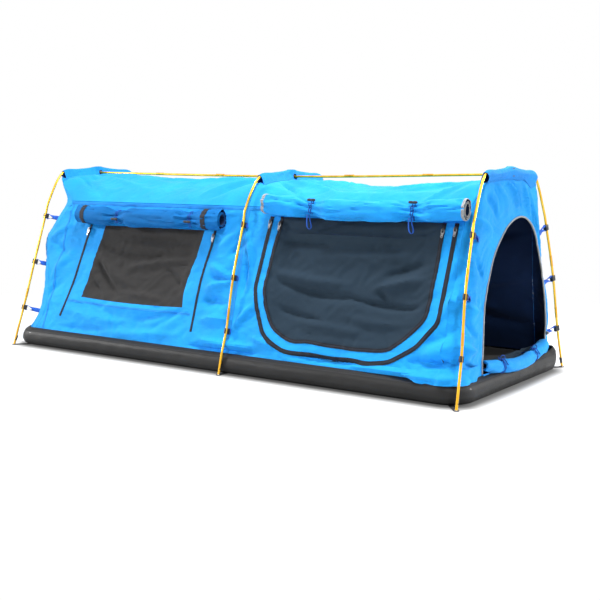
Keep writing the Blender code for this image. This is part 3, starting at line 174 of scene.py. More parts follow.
def end_half(z):
    """Half the canopy's width at an end, up the walls and over the shoulder."""
    rise = np.clip((z - SEAM_Z) / (ROOF_Z - SEAM_Z), 0.0, 1.0)
    over = SEAM_SPAN * np.interp(rise, RISE_HOOP[::-1], SPANS[::-1])
    return np.where(z <= SEAM_Z, wall_half(z), over)


def end_place(end, y, z, out=0.0):
    """Points of an end wall, turning back round its corners."""
    round_ = np.maximum(corner_round(end, z), 1e-6)
    inside = np.clip(end_half(z) - np.abs(y), 0.0, round_)
    sideways = (round_ - inside) / round_
    ahead = np.sqrt(np.maximum(0.0, 1 - sideways ** 2))
    x = end_x(end, z) + INWARD[end] * (round_ * (1 - ahead) - out * ahead)
    return np.stack([x, y + np.sign(y) * out * sideways, z], -1)


def round_the_end(end, y, z, own):
    """An end wall's relief: its own, and the long walls' relief round the corners."""
    slope = (z - TUB_HEIGHT) / math.cos(WALL_LEAN)
    round_ = np.maximum(corner_round(end, z), 1e-6)
    inside = np.maximum(end_half(z) - np.abs(y), 0.0)
    sideways = np.clip((round_ - inside) / round_, 0.0, 1.0)
    arc = round_ * (math.pi / 2 - np.arcsin(sideways)) + np.maximum(inside - round_, 0.0)
    x = wall_edge(end, slope) - INWARD[end] * arc
    long_wall = np.where(y < 0, near_relief(x, slope), far_relief(x, slope))
    share = 1 - fade(arc - 0.005, 0.11)
    return long_wall * share + own * (1 - share)


def roof_z(x, y):
    """The roof's height, tight over the hoops and slack between them."""
    xs = np.array([hoop_top_x(hoop) for hoop in HOOPS])
    top = np.interp(x, xs, [ROOF_Z, ROOF_Z - 0.009, ROOF_Z])
    bay = np.where(x < xs[1], 0, 1)
    share = np.clip((x - xs[bay]) / (xs[bay + 1] - xs[bay]), 0.0, 1.0)
    tension = (1 - np.sin(math.pi * share)) ** 1.5
    span = np.clip(np.abs(y) / SEAM_SPAN, 0.0, 1.0)
    tight = eased(SPANS, RISE_HOOP, span)
    slack = np.where(bay == 0, eased(SPANS, RISE_FOOT_BAY, span), eased(SPANS, RISE_HEAD_BAY, span))
    return SEAM_Z + (top - SEAM_Z) * (slack + (tight - slack) * tension)


def roof_line(y):
    """The roof's height over an end wall's rim."""
    span = np.clip(np.abs(y) / SEAM_SPAN, 0.0, 1.0)
    return SEAM_Z + (ROOF_Z - SEAM_Z) * eased(SPANS, RISE_HOOP, span)


def bay_x(share, index):
    """A share of the way along a bay, at the hoops' tops."""
    low, high = hoop_top_x(HOOPS[index]), hoop_top_x(HOOPS[index + 1])
    return low + (high - low) * share


# Cloth folds


def folds(a, b, strokes):
    """The height of all the strokes at (a, b). A stroke is where it starts and ends, how far
    its middle bows, its half width and its height, negative for a valley, in millimetres."""
    height = np.zeros_like(a)
    for a0, b0, a1, b1, bow, wide, tall in np.array(strokes) / 1000:
        along = np.array([a1 - a0, b1 - b0])
        reach = float(np.hypot(*along))
        along = along / reach
        t = ((a - a0) * along[0] + (b - b0) * along[1]) / reach
        across = (b - b0) * along[0] - (a - a0) * along[1] - 4 * bow * t * (1 - t)
        ends = np.clip(np.sin(math.pi * np.clip(t, 0.0, 1.0)), 0.0, 1.0) ** 0.8
        spread = wide * (0.45 + 0.55 * ends)
        skew = np.where(across > 0, 0.75, 1.25) * spread
        height += tall * ends * np.exp(-(across / skew) ** 2)
    return height


def noise_at(x, y, z):
    """Smooth noise at each point; a plain number counts for every point."""
    return np.array([noise.noise(Vector(place)) for place in zip(*np.broadcast_arrays(x, y, z))])


def crumple(a, b, seed):
    """Small random wrinkles, longer along a than along b."""
    broad = noise_at(a * 5.0, b * 11.0, seed)
    bend = noise_at(a * 9.0, b * 9.0, seed + 7.0)
    small = noise_at(a * 19.0 + bend * 2, b * 34.0 + bend * 3, seed + 3.0)
    return 0.0026 * broad + 0.0014 * (0.5 - np.abs(small) * 2)


def fade(distance, reach):
    """0 at no distance, rising smoothly to 1 at reach."""
    t = np.clip(distance / reach, 0.0, 1.0)
    return t * t * (3 - 2 * t)


# Modelling


def nothing_selected():
    if bpy.context.object and bpy.context.object.mode != "OBJECT":
        bpy.ops.object.mode_set(mode="OBJECT")
    bpy.ops.object.select_all(action="DESELECT")


def only(piece):
    nothing_selected()
    piece.select_set(True)
    bpy.context.view_layer.objects.active = piece


def modify(piece, kind, **settings):
    only(piece)
    bpy.ops.object.modifier_add(type=kind)
    made = piece.modifiers[-1]
    for key, value in settings.items():
        setattr(made, key, value)
    bpy.ops.object.modifier_apply(modifier=made.name)


def coords(piece):
    table = np.zeros(len(piece.data.vertices) * 3)
    piece.data.vertices.foreach_get("co", table)
    return table.reshape(-1, 3)


def move_to(piece, table):
    piece.data.vertices.foreach_set("co", np.ascontiguousarray(table).ravel())
    piece.data.update()


def lay_uv(piece, along, up):
    """The cloth's own map, in metres, for its weave."""
    layer = piece.data.uv_layers.active or piece.data.uv_layers.new(name="UVMap")
    corner = np.zeros(len(piece.data.loops), int)
    piece.data.loops.foreach_get("vertex_index", corner)
    layer.data.foreach_set("uv", np.stack([along[corner], up[corner]], -1).ravel())


def edit_all(piece, *steps):
    """Takes each step on all of a piece's faces."""
    only(piece)
    bpy.ops.object.mode_set(mode="EDIT")
    for step, settings in steps:
        bpy.ops.mesh.select_all(action="SELECT")
        step(**settings)
    bpy.ops.object.mode_set(mode="OBJECT")


FACE_OUTWARDS = (bpy.ops.mesh.normals_make_consistent, {"inside": False})
MERGE_SEAM = (bpy.ops.mesh.remove_doubles, {"threshold": 0.00001})


def flat_grid(name, columns, rows):
    """A flat grid from (0, 0) to (1, 1)."""
    nothing_selected()
    bpy.ops.mesh.primitive_grid_add(x_subdivisions=columns, y_subdivisions=rows, size=1.0,
                                    location=(0.5, 0.5, 0.0))
    piece = bpy.context.object
    piece.name = piece.data.name = name
    bpy.ops.object.transform_apply(location=True, rotation=False, scale=False)
    return piece


def thicken(piece, thickness, lined=False):
    """Gives a sheet its thickness, half to each side; a lined one has its second finish within."""
    modify(piece, "SOLIDIFY", thickness=thickness, offset=0.0, use_even_offset=True,
           material_offset=1 if lined else 0)


def dress(piece, paint, body="tent", stands_for=(), slot=None):
    """Gives a piece its finish and hangs it on its body, if it has only one."""
    only(piece)
    bpy.ops.object.transform_apply(location=True, rotation=True, scale=True)
    if not piece.data.materials:
        piece.data.materials.append(paint)
    bpy.ops.object.shade_smooth_by_angle(angle=math.radians(40.0))
    if body:
        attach(piece, body)
    if stands_for:
        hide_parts(*stands_for)
    return piece


def paints(piece, *finishes):
    piece.data.materials.clear()
    for finish in finishes:
        piece.data.materials.append(finish)


def loft(name, columns, rows, place, size, finishes, thickness=CANVAS, closed=False, middle=0.0,
         **dressing):
    """A sheet whose point at each share (u, v) is place(u, v), woven at its real size. Middle
    is the share v where its own map has its zero."""
    piece = flat_grid(name, columns, rows)
    flat = coords(piece)
    u, v = flat[:, 0], flat[:, 1]
    lay_uv(piece, u * size[0], (v - middle) * size[1])
    move_to(piece, place(u, v))
    paints(piece, *finishes)
    if closed:
        edit_all(piece, MERGE_SEAM, FACE_OUTWARDS)
    if thickness:
        thicken(piece, thickness, len(finishes) > 1)
    return dress(piece, finishes[0], **dressing)


def prism(name, outline, low=-0.05, high=0.05):
    """A solid over a flat outline: a part's blank, or a cutter."""
    nothing_selected()
    bpy.ops.mesh.primitive_circle_add(vertices=len(outline), fill_type="NGON")
    piece = bpy.context.object
    piece.name = name
    move_to(piece, np.array([(a, b, low) for a, b in outline]))
    raised = {"TRANSFORM_OT_translate": {"value": (0, 0, high - low)}}
    edit_all(piece, (bpy.ops.mesh.extrude_region_move, raised), FACE_OUTWARDS)
    return piece


def carve(piece, cutter, operation="DIFFERENCE"):
    modify(piece, "BOOLEAN", operation=operation, object=cutter, solver="EXACT")
    bpy.data.objects.remove(cutter, do_unlink=True)


def cut(piece, outline, operation="DIFFERENCE"):
    carve(piece, prism("pattern_cutter", outline), operation)


CUT_MARGIN = 0.004


def cut_flat(name, low, high, cells, outline, holes, finishes, thickness):
    """A flat piece cut out of the sheet from low to high, with its places on it."""
    piece = flat_grid(name, *cells)
    flat = coords(piece)
    flat[:, :2] = low + flat[:, :2] * (high - low)
    move_to(piece, flat)
    paints(piece, *finishes)
    thicken(piece, thickness, len(finishes) > 1)
    cut(piece, outline, "INTERSECT")
    for hole in holes:
        cut(piece, hole)
    flat = coords(piece)
    lay_uv(piece, flat[:, 0], flat[:, 1])
    return piece, flat


def cloth_cut(name, outline, holes, relief, finishes, thickness=CANVAS, step=0.008, side=-1,
              **dressing):
    """A wall panel cut to its outline and holes, then draped by its relief."""
    table = np.array(outline)
    low, high = table.min(0) - CUT_MARGIN, table.max(0) + CUT_MARGIN
    cells = [max(2, int(reach / step)) for reach in high - low]
    piece, flat = cut_flat(name, low, high, cells, outline, holes, finishes, thickness)
    x, slope, out = flat.T
    move_to(piece, wall_place(x, slope, out + relief(x, slope), side))
    if side > 0:
        edit_all(piece, (bpy.ops.mesh.flip_normals, {}))
    return dress(piece, finishes[0], **dressing)


def placed_copy(name, mesh):
    piece = bpy.data.objects.new(name, mesh)
    bpy.context.scene.collection.objects.link(piece)
    return piece


def tube(name, points, radius, paint, resolution, **dressing):
    """A round rod or cord along a smooth line of points."""
    made = bpy.data.curves.new(name, "CURVE")
    made.dimensions = "3D"
    made.bevel_depth = radius
    made.bevel_resolution = resolution
    made.use_fill_caps = True
    line = made.splines.new("POLY")
    line.points.add(len(points) - 1)
    for knot, point in zip(line.points, points):
        knot.co = (*point, 1.0)
    only(placed_copy(name, made))
    bpy.ops.object.convert(target="MESH")
    piece = bpy.context.object
    paints(piece, paint)
    return dress(piece, paint, **dressing)


def collar(name, middle, along, half, radius, paint, resolution, slot):
    """A short sleeve on a pole, with a millimetre turned in at each end."""
    offs = (-half, 0.001 - half, half - 0.001, half)
    tube(name, [middle + along * off for off in offs], radius, paint, resolution, slot=slot)


def torus(name, place, major, minor, segments):
    nothing_selected()
    bpy.ops.mesh.primitive_torus_add(major_segments=segments[0], minor_segments=segments[1],
                                     major_radius=major, minor_radius=minor, location=place)
    piece = bpy.context.object
    piece.name = name
    return piece


def arc_points(radius, start, end, count, x=0.0):
    """Points of an arc round (x, 0)."""
    return [(x + radius * math.cos(turn), radius * math.sin(turn))
            for turn in np.linspace(start, end, count)]


def line_length(points):
    return sum((Vector(b) - Vector(a)).length for a, b in zip(points, points[1:]))


def running_lengths(*columns):
    """How far along a line each of its points lies, from its coordinates."""
    steps = np.sqrt(sum(np.diff(column) ** 2 for column in columns))
    return np.concatenate([[0.0], np.cumsum(steps)])


# Finishes


class Finish:
    """A material under construction: its shader, its nodes and a short way to join them."""

    def __init__(self, name, colour, rough, metallic=0.0, sheen=0.0, coat=0.0, shine=0.5):
        self.paint = bpy.data.materials.new(name)
        self.paint.use_nodes = True
        self.nodes = self.paint.node_tree.nodes
        self.links = self.paint.node_tree.links
        self.shader = self.nodes["Principled BSDF"]
        looks = {"Base Color": (*colour, 1.0), "Roughness": rough, "Metallic": metallic,
                 "Sheen Weight": sheen, "Coat Weight": coat, "Specular IOR Level": shine}
        for key, value in looks.items():
            self.shader.inputs[key].default_value = value
        self.places = self.nodes.new("ShaderNodeTexCoord")

    def node(self, kind, inputs=(), **settings):
        made = self.nodes.new(kind)
        for key, value in settings.items():
            setattr(made, key, value)
        for key, value in dict(inputs).items():
            if isinstance(value, bpy.types.NodeSocket):
                self.links.new(value, made.inputs[key])
            else:
                made.inputs[key].default_value = value
        return made

    def noise(self, place, scale, detail=3.0, stretch=(1.0, 1.0, 1.0)):
        mapped = self.node("ShaderNodeMapping", {"Vector": self.places.outputs[place],
                                                 "Scale": stretch})
        made = self.node("ShaderNodeTexNoise", {"Vector": mapped.outputs["Vector"],
                                                "Scale": scale, "Detail": detail})
        return made.outputs["Fac"]

    def threads(self, spacing, turn=0.0):
        """Ribs a thread apart, turned by an angle in the cloth's own map."""
        mapped = self.node("ShaderNodeMapping", {"Vector": self.places.outputs["UV"],
                                                 "Rotation": (0.0, 0.0, turn)})
        made = self.node("ShaderNodeTexWave", {"Vector": mapped.outputs["Vector"],
                                               "Scale": math.tau / (20.0 * spacing)})
        return made.outputs["Fac"]

    def math(self, operation, *values):
        made = self.node("ShaderNodeMath", dict(enumerate(values)), operation=operation)
        return made.outputs[0]

    def vectors(self, operation, *values):
        return self.node("ShaderNodeVectorMath", dict(enumerate(values)), operation=operation)

    def sum(self, first, second, weight):
        return self.math("ADD", first, self.math("MULTIPLY", second, weight))

    def ranged(self, value, start, end, low=0.0, high=1.0, **settings):
        made = self.node("ShaderNodeMapRange", {"Value": value, "From Min": start, "From Max": end,
                                                "To Min": low, "To Max": high}, **settings)
        return made.outputs["Result"]

    def from_middle(self):
        """The distance from the middle of a tape, in its own map."""
        split = self.node("ShaderNodeSeparateXYZ", {"Vector": self.places.outputs["UV"]})
        return self.math("ABSOLUTE", split.outputs["Y"])

    def weave(self, spacing):
        return self.sum(self.threads(spacing), self.threads(spacing, math.pi / 2), 1.0)

    def colours(self, fac, *stops):
        made = self.node("ShaderNodeValToRGB", {"Fac": fac})
        ramp = made.color_ramp.elements
        while len(ramp) < len(stops):
            ramp.new(0.5)
        for element, (place, colour) in zip(ramp, stops):
            element.position = place
            element.color = (*colour, 1.0)
        self.links.new(made.outputs["Color"], self.shader.inputs["Base Color"])

    def rough_between(self, fac, low, high):
        self.links.new(self.ranged(fac, 0.0, 1.0, low, high), self.shader.inputs["Roughness"])

    def bump(self, height, strength, distance):
        made = self.node("ShaderNodeBump", {"Height": height, "Strength": strength,
                                            "Distance": distance})
        found = self.shader.inputs["Normal"]
        if found.is_linked:
            self.links.new(found.links[0].from_socket, made.inputs["Normal"])
        self.links.new(made.outputs["Normal"], found)


def mixed(low, high, share):
    return tuple(a + (b - a) * share for a, b in zip(low, high))


def toned(colour, by):
    return tuple(min(1.0, part * by) for part in colour)


CANVAS_THREAD, THREAD_DEPTH = 0.0011, 0.00022


def woven(name, colour, vary, crease=0.0032, sheen=0.06):
    """Woven cloth: two sets of threads, soft creases and a slight change of shade."""
    rough = 0.78
    made = Finish(name, colour, rough, sheen=sheen, shine=0.16)
    weave = made.weave(CANVAS_THREAD)
    patch = made.noise("Object", 7.0, 4.0)
    grain = made.noise("UV", 420.0, 2.0, (1.0, 0.35, 1.0))
    shade = made.sum(patch, grain, 0.45)
    made.colours(shade, (0.38, toned(colour, 1 - vary)), (0.72, colour),
                 (1.0, toned(colour, 1 + 0.9 * vary)))
    made.rough_between(patch, rough - 0.06, rough + 0.08)
    made.bump(weave, 0.5, THREAD_DEPTH)
    ridges = made.node("ShaderNodeTexNoise", {"Vector": made.places.outputs["Object"],
                                              "Scale": 11.0, "Detail": 3.0, "Distortion": 0.4},
                       noise_type="RIDGED_MULTIFRACTAL")
    made.bump(ridges.outputs["Fac"], 0.8, 1.5 * crease)
    made.bump(made.noise("Object", 24.0, 5.0, (1.0, 1.0, 1.7)), 0.55, crease)
    return made.paint


def coated(name, colour):
    """PVC-coated scrim: a soft shine, a faint square grid of threads and some dust."""
    made = Finish(name, colour, 0.5, coat=0.02, shine=0.22)
    grid = made.weave(0.0022)
    dust = made.noise("Object", 9.0, 6.0)
    made.colours(dust, (0.3, toned(colour, 0.85)), (0.62, colour), (0.95, toned(colour, 1.6)))
    made.rough_between(dust, 0.42, 0.62)
    made.bump(grid, 0.35, 0.00018)
    made.bump(made.noise("Object", 16.0, 4.0, (1.0, 1.0, 2.2)), 0.6, 0.0022)
    return made.paint


def screen_cloth(name, colour):
    """Fine insect mesh: threads lighter than the holes between them."""
    made = Finish(name, colour, 0.85, sheen=0.02, shine=0.10)
    net = made.weave(0.0016)
    cloud = made.noise("Object", 6.0, 4.0)
    shade = made.sum(net, cloud, 0.9)
    made.colours(shade, (0.25, toned(colour, 0.55)), (0.78, colour), (1.0, toned(colour, 1.7)))
    made.bump(net, 0.6, 0.0003)
    made.bump(made.noise("Object", 18.0, 4.0), 0.35, 0.0012)
    return made.paint


def anodised(name, colour):
    """Gold anodised tube, with fine lines along it and a few rubbed places."""
    made = Finish(name, colour, 0.3, metallic=0.85)
    rubbed = made.noise("Object", 35.0, 5.0, (1.0, 1.0, 0.25))
    lines = made.noise("Object", 260.0, 2.0, (1.0, 1.0, 0.06))
    made.colours(rubbed, (0.30, mixed(colour, (0.35, 0.12, 0.0), 0.35)), (0.55, colour),
                 (0.95, mixed(colour, (1.0, 0.85, 0.45), 0.35)))
    made.rough_between(rubbed, 0.24, 0.42)
    made.bump(lines, 0.15, 0.0001)
    return made.paint


def moulded(name, colour, rough=0.42):
    """Moulded plastic with a fine spark-eroded grain."""
    made = Finish(name, colour, rough)
    grain = made.noise("Object", 900.0, 3.0)
    smear = made.noise("Object", 60.0, 3.0)
    made.colours(smear, (0.3, toned(colour, 0.7)), (0.7, colour), (1.0, toned(colour, 2.2)))
    made.rough_between(smear, rough - 0.08, rough + 0.12)
    made.bump(grain, 0.25, 0.00012)
    return made.paint


def plated(name, colour):
    """Cast zinc with a bright plating, a little worn."""
    made = Finish(name, colour, 0.28, metallic=1.0)
    worn = made.noise("Object", 150.0, 4.0)
    made.colours(worn, (0.3, mixed(colour, (0.1, 0.1, 0.1), 0.35)), (0.6, colour),
                 (1.0, mixed(colour, (1, 1, 1), 0.3)))
    made.rough_between(worn, 0.2, 0.4)
    made.bump(worn, 0.2, 0.0001)
    return made.paint


def webbing(name, colour):
    """Flat woven tape with ribs across it."""
    made = Finish(name, colour, 0.7, sheen=0.03, shine=0.25)
    ribs = made.threads(0.0018)
    made.colours(made.sum(ribs, made.noise("Object", 40.0), 0.6),
                 (0.2, toned(colour, 0.7)), (0.8, colour), (1.0, toned(colour, 1.8)))
    made.bump(made.sum(ribs, made.threads(0.0009, math.pi / 2), 0.5), 0.7, 0.0004)
    return made.paint


def zip_tape(name, colour):
    """A zip's tape with the ribbed coil down its middle, across its own map."""
    made = Finish(name, colour, 0.62, shine=0.2)
    coil = made.ranged(made.from_middle(), 0.0022, 0.0030, 1.0, 0.0)
    teeth = made.math("MULTIPLY", made.threads(0.0013), coil)
    made.colours(teeth, (0.0, colour), (0.5, toned(colour, 0.6)), (1.0, toned(colour, 4.5)))
    made.bump(teeth, 0.8, 0.0006)
    made.bump(made.threads(0.0008, math.pi / 2), 0.4, 0.0002)
    return made.paint


def stitched(name, colour, thread):
    """Folded seam tape with a row of lock stitches along each edge."""
    made = Finish(name, colour, 0.78, sheen=0.03, shine=0.2)
    off = made.math("ABSOLUTE", made.math("SUBTRACT", made.from_middle(), 0.0034))
    row = made.ranged(off, 0.0003, 0.0006, 1.0, 0.0)
    dashes = made.math("GREATER_THAN", made.threads(0.0036), 0.42)
    stitch = made.math("MULTIPLY", row, dashes)
    made.colours(stitch, (0.0, colour), (1.0, thread))
    made.bump(stitch, 0.8, 0.0005)
    made.bump(made.threads(0.0011, math.pi / 4), 0.4, 0.0002)
    return made.paint


AZURE = (0.011, 0.325, 0.845)
canvas = woven("azure_canvas_cloth", AZURE, vary=0.18, crease=0.0056)
# The canvas's inner face is painted dark navy, as the shade inside the tent
inner_face_painted_shade = woven("navy_canvas_inner_painted_shade", (0.005, 0.020, 0.072), vary=0.10)
seam_cloth = stitched("azure_seam_tape", (0.010, 0.235, 0.680), (0.05, 0.40, 0.85))
# The window cover is the same canvas, painted darker to stand for the shade the rolled cover lies
# in
window_cover_painted_shade = woven("azure_window_cover_painted_darker", (0.003, 0.138, 0.420), vary=0.16, crease=0.0040,
                    sheen=0.0)
roll_cloth = woven("azure_rolled_canvas", (0.010, 0.290, 0.780), vary=0.16, crease=0.0040)
sleeve_cloth = woven("azure_sleeve_cloth", (0.008, 0.235, 0.690), vary=0.16, crease=0.0036)
strap_cloth = webbing("blue_webbing", (0.012, 0.085, 0.420))
black_webbing = webbing("black_webbing", (0.016, 0.016, 0.018))
grey_tape = webbing("grey_binding_tape", (0.27, 0.28, 0.28))
window_net = screen_cloth("umber_insect_mesh", (0.0235, 0.0228, 0.0228))
door_net = screen_cloth("slate_insect_mesh", (0.0130, 0.0240, 0.0370))
pvc = coated("charcoal_coated_scrim", (0.0108, 0.0108, 0.0110))
gold = anodised("gold_anodised_tube", (0.86, 0.47, 0.030))
plastic = moulded("black_moulded_plastic", (0.013, 0.013, 0.015))
dark_plastic = moulded("graphite_moulded_plastic", (0.030, 0.031, 0.034), 0.38)
zinc = plated("bright_zinc", (0.30, 0.305, 0.315))
dark_zinc = plated("dark_zinc", (0.060, 0.062, 0.066))
zip_cloth = zip_tape("navy_zip_tape", (0.006, 0.008, 0.014))
elastic = webbing("black_elastic", (0.010, 0.012, 0.018))
cord_cloth = webbing("blue_cord", (0.010, 0.060, 0.300))
hem_tape = stitched("charcoal_hem_tape", (0.018, 0.018, 0.019), (0.07, 0.07, 0.075))
gold_joint = anodised("gold_ferrule", (0.72, 0.35, 0.02))
pad_cloth = woven("grey_mattress_cover", (0.021, 0.019, 0.018), vary=0.02, crease=0.0012)


# Camera, light and floor, at the photograph's place


CAMERA_PLACE = (2.4776, -3.4048, 0.7551)
CAMERA_TURN, CAMERA_DOWN, CAMERA_ROLL = 34.554, 7.105, 0.429
LENS, SENSOR = 61.764, 36.0
SKY, SKY_STRENGTH = (0.94, 0.97, 1.0, 1.0), 0.15

# Each lamp's place, what it aims at, its size and its power
LAMPS = (
    ((0.7, -0.7, 3.4), (0.2, -0.1, 0.3), (0.9, 0.5), 142.0),
    ((0.6, 1.9, 2.7), (0.1, 0.0, 0.5), (1.2, 0.7), 52.0),
    ((-4.3, -2.3, 1.9), (0.1, -0.3, 0.35), (0.4, 0.4), 200.0),
    ((3.5, -2.2, 2.4), (0.8, -0.1, 0.35), (0.6, 0.6), 46.0),
    ((3.4, 1.9, 1.5), (1.0, 0.0, 0.45), (0.5, 0.5), 92.0),
)

# The floor's painted contact shadow, this grey at a box a little smaller than the tub, fades out
# between these distances from the box, and the floor itself between the ones after
FLOOR_RADIUS, FLOOR_Z = 6.0, -0.0012
PAINTED_SHADOW_BOX = (TUB_LENGTH / 2 - 0.09, TUB_WIDTH / 2 - 0.09, 9.0)
PAINTED_SHADOW_MIDDLE, PAINTED_SHADOW_FADE, PAINTED_SHADOW_GREY = (0.010, -0.012, 0.0), (0.060, 0.155), 0.22
FLOOR_FADE = (1.5, 2.6)
FLOOR_GLOW, GLOW_SHARE = 1.15, 0.42


def stand_camera():
    turn, down, roll = [math.radians(angle) for angle in (CAMERA_TURN, CAMERA_DOWN, CAMERA_ROLL)]
    look = Vector((-math.sin(turn) * math.cos(down), math.cos(turn) * math.cos(down),
                   -math.sin(down)))
    right = Vector((math.cos(turn), math.sin(turn), 0.0))
    up = right.cross(look)
    rolled_right = right * math.cos(roll) + up * math.sin(roll)
    rolled_up = up * math.cos(roll) - right * math.sin(roll)
    bpy.ops.object.camera_add(location=CAMERA_PLACE)
    camera = bpy.context.object
    camera.rotation_euler = Matrix((rolled_right, rolled_up, -look)).transposed().to_euler()
    camera.data.sensor_width = SENSOR
    camera.data.lens = LENS
    camera.data.dof.use_dof = False
    bpy.context.scene.camera = camera


def soft_lamp(place, aim, size, power):
    bpy.ops.object.light_add(type="AREA", location=place)
    lamp = bpy.context.object
    lamp.data.shape = "RECTANGLE"
    lamp.data.size, lamp.data.size_y = size
    lamp.data.energy = power
    lamp.rotation_euler = (Vector(aim) - Vector(place)).to_track_quat("-Z", "Y").to_euler()


def light_studio():
    scene = bpy.context.scene
    scene.view_settings.view_transform = "Standard"
    for lamp in LAMPS:
        soft_lamp(*lamp)
    world = bpy.data.worlds.new("studio")
    scene.world = world
    world.use_nodes = True
    nodes, links = world.node_tree.nodes, world.node_tree.links
    nodes["Background"].inputs["Color"].default_value = SKY
    nodes["Background"].inputs["Strength"].default_value = SKY_STRENGTH
    white = nodes.new("ShaderNodeBackground")
    white.inputs["Color"].default_value = (1.0, 1.0, 1.0, 1.0)
    rays = nodes.new("ShaderNodeLightPath")
    seen = rays.outputs["Is Camera Ray"]
    for kind in ("Is Glossy Ray", "Is Transmission Ray"):
        either = nodes.new("ShaderNodeMath")
        either.operation = "MAXIMUM"
        links.new(seen, either.inputs[0])
        links.new(rays.outputs[kind], either.inputs[1])
        seen = either.outputs[0]
    mix = nodes.new("ShaderNodeMixShader")
    links.new(seen, mix.inputs["Fac"])
    links.new(nodes["Background"].outputs[0], mix.inputs[1])
    links.new(white.outputs[0], mix.inputs[2])
    links.new(mix.outputs[0], nodes["World Output"].inputs["Surface"])


def lay_floor():
    """A pale floor, white away from the tub, with a soft contact shadow painted round the tub into
    its colour and glow, and clear further out.
    """
    bpy.ops.mesh.primitive_circle_add(vertices=96, radius=FLOOR_RADIUS, fill_type="NGON",
                                      location=(0.0, 0.0, FLOOR_Z))
    floor = bpy.context.object
    floor.name = "studio_floor"
    made = Finish("pale_floor_painted_shadow", (0.90, 0.90, 0.90), 0.9)
    rays = made.node("ShaderNodeLightPath")
    place = made.places.outputs["Object"]
    # Painted shadow: the floor's colour and its glow go grey towards a box a little smaller than
    # the tub
    outside = made.vectors("SUBTRACT", place, PAINTED_SHADOW_MIDDLE).outputs["Vector"]
    outside = made.vectors("ABSOLUTE", outside).outputs["Vector"]
    outside = made.vectors("SUBTRACT", outside, PAINTED_SHADOW_BOX).outputs["Vector"]
    outside = made.vectors("MAXIMUM", outside, (0.0, 0.0, 0.0)).outputs["Vector"]
    reach = made.vectors("LENGTH", outside).outputs["Value"]
    painted_shadow_level = made.ranged(reach, *PAINTED_SHADOW_FADE, PAINTED_SHADOW_GREY, interpolation_type="SMOOTHERSTEP")
    grey = made.node("ShaderNodeCombineColor", {key: painted_shadow_level for key in ("Red", "Green", "Blue")})
    made.links.new(grey.outputs["Color"], made.shader.inputs["Base Color"])
    glow = made.node("ShaderNodeEmission", {"Color": grey.outputs["Color"],
                                            "Strength": FLOOR_GLOW})
    share = made.math("MULTIPLY", rays.outputs["Is Camera Ray"], GLOW_SHARE)
    lit = made.node("ShaderNodeMixShader", {0: share, 1: made.shader.outputs[0],
                                            2: glow.outputs[0]})
    away = made.vectors("LENGTH", place).outputs["Value"]
    clear = made.node("ShaderNodeBsdfTransparent")
    faded = made.node("ShaderNodeMixShader", {0: made.ranged(away, *FLOOR_FADE),
                                              1: lit.outputs[0], 2: clear.outputs[0]})
    made.links.new(faded.outputs[0], made.nodes["Material Output"].inputs["Surface"])
    floor.data.materials.append(made.paint)


stand_camera()
light_studio()
lay_floor()


# The near wall with its window and door

NEAR_STROKES = (
    (-970, 390, -800, 300, 10, 16, -4), (-970, 400, -840, 470, 0, 16, 4),
    (-930, 220, -800, 360, 10, 20, 4), (-950, 120, -840, 220, 10, 18, -4),
    (-930, 550, -830, 500, 0, 14, 3), (-800, 100, -450, 75, -12, 20, 4),
    (-620, 125, -220, 118, 8, 16, 4), (-420, 85, -160, 135, 0, 12, -4),
    (-560, 20, -150, 50, 0, 18, 5), (-160, 145, -320, 45, 0, 11, -3),
    (-100, 180, 70, 185, 12, 18, -7), (-90, 235, 70, 275, 0, 16, 6), (-80, 340, 70, 285, 0, 14, 6),
    (-70, 290, 60, 280, 0, 10, -4), (-30, 400, 90, 490, 0, 18, 5), (20, 370, 120, 440, 0, 15, -4),
    (-80, 110, 100, 125, 10, 15, 6), (-80, 45, 240, 42, -10, 16, 7),
    (-120, 15, 260, 18, 0, 12, -8), (90, 470, 140, 300, 12, 16, 6),
    (120, 400, 120, 220, 0, 12, -5), (100, 100, 180, 200, 0, 14, 6), (180, 75, 310, 45, 0, 12, 5),
    (970, 470, 955, 300, 12, 17, 4), (1000, 400, 975, 240, 0, 16, -3),
    (1010, 300, 945, 200, 0, 17, 4.5), (1040, 200, 900, 115, 10, 18, -4.5),
    (1060, 150, 880, 75, 14, 20, 5.5), (840, 52, 1060, 55, 10, 12, -5.5),
    (780, 22, 1060, 24, -8, 13, 9), (1070, 340, 930, 235, 6, 22, 5.5),
    (1070, 420, 950, 320, 0, 18, -4), (1050, 100, 900, 35, 6, 13, -4.5),
    (600, 16, 880, 12, 4, 10, 6), (360, 22, 740, 18, 4, 10, -5), (-840, 22, -550, 30, 0, 14, -4),
)
WINDOW = ((-0.721, 0.155), (-0.163, 0.155), (-0.112, 0.465), (-0.653, 0.465))
WINDOW_DIP, WINDOW_BOW = 0.007, 0.015
WINDOW_MIDDLE = (-0.4, 0.3)
STEPS_OF_EIGHT = [i / 8 for i in range(8)]
ARC_STEPS = 20
DOOR_TOPS, DOOR_FEET, DOOR_ROUNDS = (0.2052, 0.9645), (0.1498, 0.9354), (0.235, 0.250)
DOOR_HEAD, DOOR_SILL, DOOR_BORDER = 0.530, 0.030, 0.045

# Where the sliders run: up the window's two zips and down the door's two sides
SLIDER_RUNS = (((-0.8279, 0.065), (-0.7323, 0.465)), ((-0.0902, 0.065), (-0.0565, 0.465)),
               ((0.2052, 0.530), (0.1640, 0.255)), ((0.9645, 0.530), (0.9430, 0.245)))


def wall_edge(end, slope):
    """Where a long wall meets the rounded corner at an end."""
    z = wall_z(slope)
    return end_x(end, z) + INWARD[end] * (corner_round(end, z) + 0.0005)


def wall_outline():
    slopes = np.linspace(-WALL_LAP, WALL_HEIGHT - 0.0005, 40)
    head, foot = [list(zip(wall_edge(end, slopes), slopes)) for end in ("head", "foot")]
    return head + foot[::-1]


